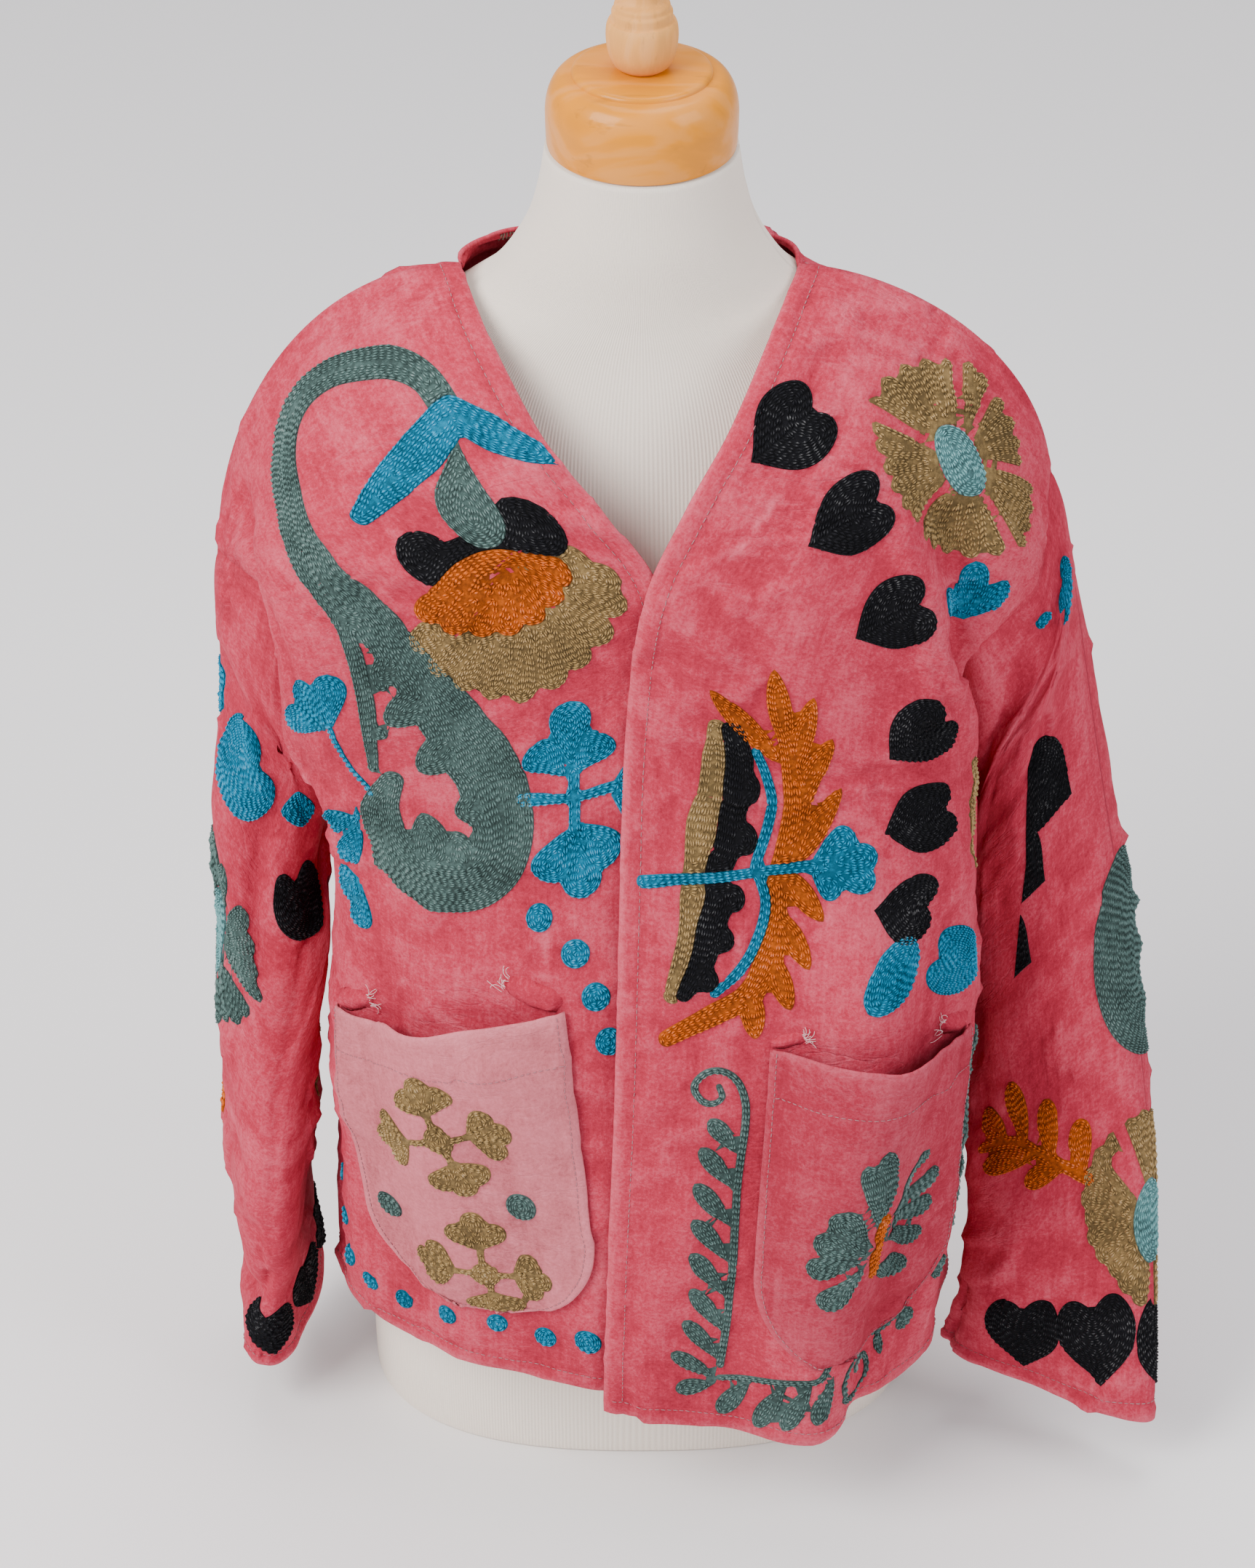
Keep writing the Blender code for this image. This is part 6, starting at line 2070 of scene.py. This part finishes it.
class YarnSettings(bpy.types.PropertyGroup):
    """The wools' and threads' colours."""

    black: colour_setting("Black wool", "Hearts and bands", (0.0085, 0.0085, 0.0115))
    blue: colour_setting("Blue wool", "Tulips, wings and dots", (0.003, 0.265, 0.455))
    pale_blue: colour_setting("Pale blue wool", "Flower hearts", (0.170, 0.400, 0.410))
    khaki: colour_setting("Khaki wool", "Open flowers, fan and clovers", (0.380, 0.245, 0.098))
    grey_green: colour_setting("Grey-green wool", "Vines, petals and the band", (0.105, 0.178, 0.166))
    orange: colour_setting("Orange wool", "Branch, fan and bar", (0.640, 0.125, 0.006))
    seam: colour_setting("Sewing thread", "Topstitching", (0.36, 0.060, 0.090))
    loose: colour_setting("Loose thread", "Frayed ends", (0.86, 0.50, 0.52))
    repair: colour_setting("Oversewing", "Inside the back of the neck", (0.22, 0.13, 0.09))


class FormSettings(bpy.types.PropertyGroup):
    """The dress form's colours."""

    jersey: colour_setting("Jersey", "Colour of the torso's cover", (0.93, 0.825, 0.715))
    cap: colour_setting("Neck cap", "Colour of the varnished cap", (0.71, 0.245, 0.002))
    finial: colour_setting("Finial", "Colour of the bare finial", (0.78, 0.35, 0.085))


class StageSettings(bpy.types.PropertyGroup):
    """The table and its lights."""

    ground: colour_setting("Table", "Colour of the table", (0.95, 0.93, 0.935))
    key: power_setting("Key light", "Power of the large light on the left", 142.0)
    fill: power_setting("Fill light", "Power of the large light on the right", 44.0)


def ridges(points, normals, reach):
    """How far each point stands out from the mean of its neighbours, in millimetres.

    The mean is taken over a square of the grid, along one direction and then the other.
    """
    mean = np.pad(points, ((reach, reach), (reach, reach), (0, 0)), mode="edge")
    rows, columns = points.shape[:2]
    span = 2 * reach + 1
    mean = sum(mean[k : k + rows] for k in range(span)) / span
    mean = sum(mean[:, k : k + columns] for k in range(span)) / span
    return ((points - mean) * normals).sum(-1) * 1000.0


def crease_wear_and_painted_shade(panel, creases, seed):
    """How pale the pile is: thin broken pale lines along creases, where the pile is crushed, and painted light from
    the folds: a painted highlight on ridges and painted shade in dips.
    """
    up = np.broadcast_to(panel.heights[:, None], panel.widths.shape)
    girth = panel.widths.max()
    length = panel.heights[-1]
    share_across = panel.widths / np.maximum(panel.widths[:, -1:], 1e-9)
    thin = [c._replace(height=1.0, width=0.0022) for c in creases]
    share_up = up / length
    lines = fold_heights(thin, share_across, share_up, girth, length)
    broken = np.clip(ripple(panel.widths, up, seed, 0.05) + 0.2, 0.0, 1.0)
    # Painted light: points that stand out from their neighbours are painted paler, as a highlight, and points in dips
    # darker, as painted shade.
    stand = ridges(panel.points, panel.normals, 3) / 0.40 + ridges(panel.points, panel.normals, 10) / 2.2
    return np.clip(lines * broken + 0.36 * np.clip(stand, -1.2, 1.0), -0.8, 1.0)


class JACKET_OT_cloth(bpy.types.Operator):
    """Makes the fronts, back, sleeves and pockets as velvet walls with their folds and creases"""

    bl_idname = "jacket.cloth"
    bl_label = "Velvet cloth"

    def execute(self, context):
        settings = context.scene.jacket_velvet
        main = velvet("crushed_velvet", tuple(settings.colour), tuple(settings.pale),
            tuple(settings.shade), 0.10)
        cloths = {name: main for name in PANELS}
        # The left pocket's copy is darker as painted shade; the right pocket's copy is paler.
        for name, lift in zip(("pocket_left", "pocket_right"), settings.pocket_tone_and_shade):
            cloths[name] = velvet(name + "_velvet", lighter(tuple(settings.colour), lift),
                lighter(tuple(settings.pale), lift), lighter(tuple(settings.shade), lift * 0.5),
                0.12)
        for seed, (name, panel) in enumerate(PANELS.items()):
            wear = crease_wear_and_painted_shade(panel, CREASES.get(name, []), 50 + seed)
            bottom = panel.heights[:, None] + 0.0 * panel.widths
            top = panel.heights[-1] - bottom
            first, last = panel.widths - panel.widths[:, :1], panel.widths[:, -1:] - panel.widths
            free = {"back": bottom, "sleeve_left": top, "sleeve_right": top}
            edge = free.get(name, np.minimum(first, bottom))
            rim = 0.0022
            if "pocket" in name:
                edge, rim = np.minimum.reduce([first, last, bottom, top]), 0.0042
            # Painted highlight: the free edges, and the pockets' rolled edges all round, are painted paler where the
            # pile's sheen catches them.
            wear = np.maximum(wear, 0.9 * bell(edge, rim))
            shell = add_shell("velvet_" + name, panel, settings.thickness, cloths[name], wear)
            dress(shell, name, CLOTHS[name][0])
        for number in range(len(TABS)):
            sewn_on(add_tab(number, main), TABS[number][0])
        return {"FINISHED"}


def sewn_on(piece, name):
    """Makes a piece move with the part, and notes which cloth it is sewn on."""
    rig.ride(piece, "root")
    SEWN[name].append(piece)


class JACKET_OT_embroidery(bpy.types.Operator):
    """Fills every motif with rows of wool chain stitch"""

    bl_idname = "jacket.embroidery"
    bl_label = "Wool embroidery"

    def execute(self, context):
        settings = context.scene.jacket_yarn
        wools = {
            colour: wool(colour + "_wool", tuple(getattr(settings, colour)))
            for colour in ("black", "blue", "pale_blue", "khaki", "grey_green", "orange")
        }
        for name in MOTIFS:
            for piece in embroider(name, PANELS[name], wools):
                sewn_on(piece, name)
        return {"FINISHED"}


class JACKET_OT_stitching(bpy.types.Operator):
    """Sews the edges, hems and pocket lines, and leaves the frayed ends"""

    bl_idname = "jacket.stitching"
    bl_label = "Stitching and loose threads"

    def execute(self, context):
        settings = context.scene.jacket_yarn
        seam = thread("seam_thread", tuple(settings.seam))
        for name, panel in PANELS.items():
            sewn_on(topstitch(name, panel, seam), name)
        loose = thread("loose_thread", tuple(settings.loose))
        sewn_on(add_loose_threads(loose), "front_right")
        repair = thread("repair_thread", tuple(settings.repair))
        sewn_on(oversew_neck(repair), "back")
        return {"FINISHED"}


class JACKET_OT_form(bpy.types.Operator):
    """Makes the jersey torso, the varnished neck cap and the bare finial"""

    bl_idname = "jacket.form"
    bl_label = "Dress form"

    def execute(self, context):
        settings = context.scene.jacket_form
        build_form(jersey("rib_jersey", tuple(settings.jersey)),
            wood("varnished_maple", tuple(settings.cap), (5.0, 30.0, 30.0), 0.3, 0.18),
            wood("bare_beech", tuple(settings.finial), (60.0, 60.0, 12.0), 0.5, 0.0))
        return {"FINISHED"}


class JACKET_OT_stage(bpy.types.Operator):
    """Sets the pale table, the soft lights and the camera"""

    bl_idname = "jacket.stage"
    bl_label = "Table, light and camera"

    def execute(self, context):
        settings = context.scene.jacket_stage
        add_stage(tuple(settings.ground), settings.key, settings.fill)
        return {"FINISHED"}


# One row is one lamp: its name, where it hangs, how wide it is and its tint. All aim at one point.
LIGHTS = (
    ("key_light", (-1.9, -1.5, 2.5), 1.7, (1.0, 0.985, 0.96)),
    ("fill_light", (2.1, -1.2, 2.1), 1.6, (0.97, 0.98, 1.0)),
    ("top_light", (0.1, 0.6, 3.0), 1.6, (1.0, 1.0, 1.0)),
)
LIT_POINT = (0.0, 0.0, 0.45)
TOP_SHARE = 0.9
SKY_COLOUR = (0.96, 0.95, 1.0, 1.0)
SKY_STRENGTH = 0.58

# The camera stands before the jacket and looks down by a dip in radians, through a lens in millimetres.
CAMERA_PLACE = (-0.00711, -2.00754, 1.79118)
CAMERA_DIP = 0.6076
LENS = 103.81


def add_stage(ground, key_power, fill_power):
    """A wide pale table, seen from above, three soft lights, a pale sky and the camera.

    The table's far rim rises by a square of its distance past 2 m, as a paper sweep begins to.
    """
    ticks = np.linspace(-4.0, 4.0, 33)
    x, y = np.meshgrid(ticks, ticks)
    rise = 0.02 * np.maximum(np.hypot(x, y) - 2.0, 0.0) ** 2
    points = np.stack([x, y, rise], -1)
    table = add_mesh("table_top", points.reshape(-1, 3), [grid_faces(*points.shape[:2])],
        plain_surface("white_table", ground, 0.42))
    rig.stage(table)

    for (name, place, size, tint), power in zip(LIGHTS, (key_power, fill_power, fill_power * TOP_SHARE)):
        data = bpy.data.lights.new(name, "AREA")
        data.shape = "SQUARE"
        data.size = size
        data.energy = power
        data.color = tint
        lamp = bpy.data.objects.new(name, data)
        lamp.location = place
        aim = Vector(LIT_POINT) - Vector(place)
        lamp.rotation_euler = aim.to_track_quat("-Z", "Y").to_euler()
        bpy.context.scene.collection.objects.link(lamp)

    world = bpy.data.worlds.new("pale_room")
    world.use_nodes = True
    sky = world.node_tree.nodes["Background"]
    sky.inputs["Color"].default_value = SKY_COLOUR
    sky.inputs["Strength"].default_value = SKY_STRENGTH
    bpy.context.scene.world = world

    data = bpy.data.cameras.new("camera")
    data.lens = LENS
    data.sensor_width = 36.0
    data.sensor_fit = "AUTO"
    data.clip_end = 30.0
    camera = bpy.data.objects.new("camera", data)
    camera.location = CAMERA_PLACE
    camera.rotation_euler = (math.pi / 2.0 - CAMERA_DIP, 0.0, 0.0)
    bpy.context.scene.collection.objects.link(camera)
    bpy.context.scene.camera = camera


class JACKET_PT_panel(bpy.types.Panel):
    """Lists the jacket's settings and steps"""

    bl_idname = "JACKET_PT_panel"
    bl_label = "Jacket"
    bl_space_type = "VIEW_3D"
    bl_region_type = "UI"
    bl_category = "Jacket"

    def draw(self, context):
        layout = self.layout
        for group, steps in PANEL_ROWS:
            box = layout.box()
            settings = getattr(context.scene, group)
            for title in settings.__annotations__:
                box.prop(settings, title)
            for step in steps:
                box.operator(step)


PANEL_ROWS = (
    ("jacket_velvet", ("jacket.cloth",)),
    ("jacket_yarn", ("jacket.embroidery", "jacket.stitching")),
    ("jacket_form", ("jacket.form",)),
    ("jacket_stage", ("jacket.stage",)),
)

SETTINGS = {
    "jacket_velvet": VelvetSettings,
    "jacket_yarn": YarnSettings,
    "jacket_form": FormSettings,
    "jacket_stage": StageSettings,
}

CLASSES = (
    *SETTINGS.values(),
    JACKET_OT_cloth,
    JACKET_OT_embroidery,
    JACKET_OT_stitching,
    JACKET_OT_form,
    JACKET_OT_stage,
    JACKET_PT_panel,
)


def register():
    for cls in CLASSES:
        bpy.utils.register_class(cls)
    for name, group in SETTINGS.items():
        setattr(bpy.types.Scene, name, bpy.props.PointerProperty(type=group))


def unregister():
    for name in SETTINGS:
        delattr(bpy.types.Scene, name)
    for cls in reversed(CLASSES):
        bpy.utils.unregister_class(cls)


def main():
    """Registers everything, makes each piece in order and writes the two boxes."""
    register()
    bpy.ops.jacket.form()
    bpy.ops.jacket.cloth()
    bpy.ops.jacket.embroidery()
    bpy.ops.jacket.stitching()
    declare_cloth()
    bpy.ops.jacket.stage()
    boxes = {"cad": [[float(x) for x in corner] for corner in CAD_BOX],
        "visual": [[float(x) for x in corner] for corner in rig.bounds()]}
    with open("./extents.json", "w") as file:
        json.dump(boxes, file)


def declare_cloth():
    """Declares each cloth piece with the size that it was cut to and what it hangs on."""
    for name, (_, flat, area, rests) in CLOTHS.items():
        cloth = bpy.data.objects["velvet_" + name]
        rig.sheet(cloth, flat=flat, held="hung", rests_on=rests, area=area, with_pieces=SEWN[name])


if __name__ == "__main__":
    main()
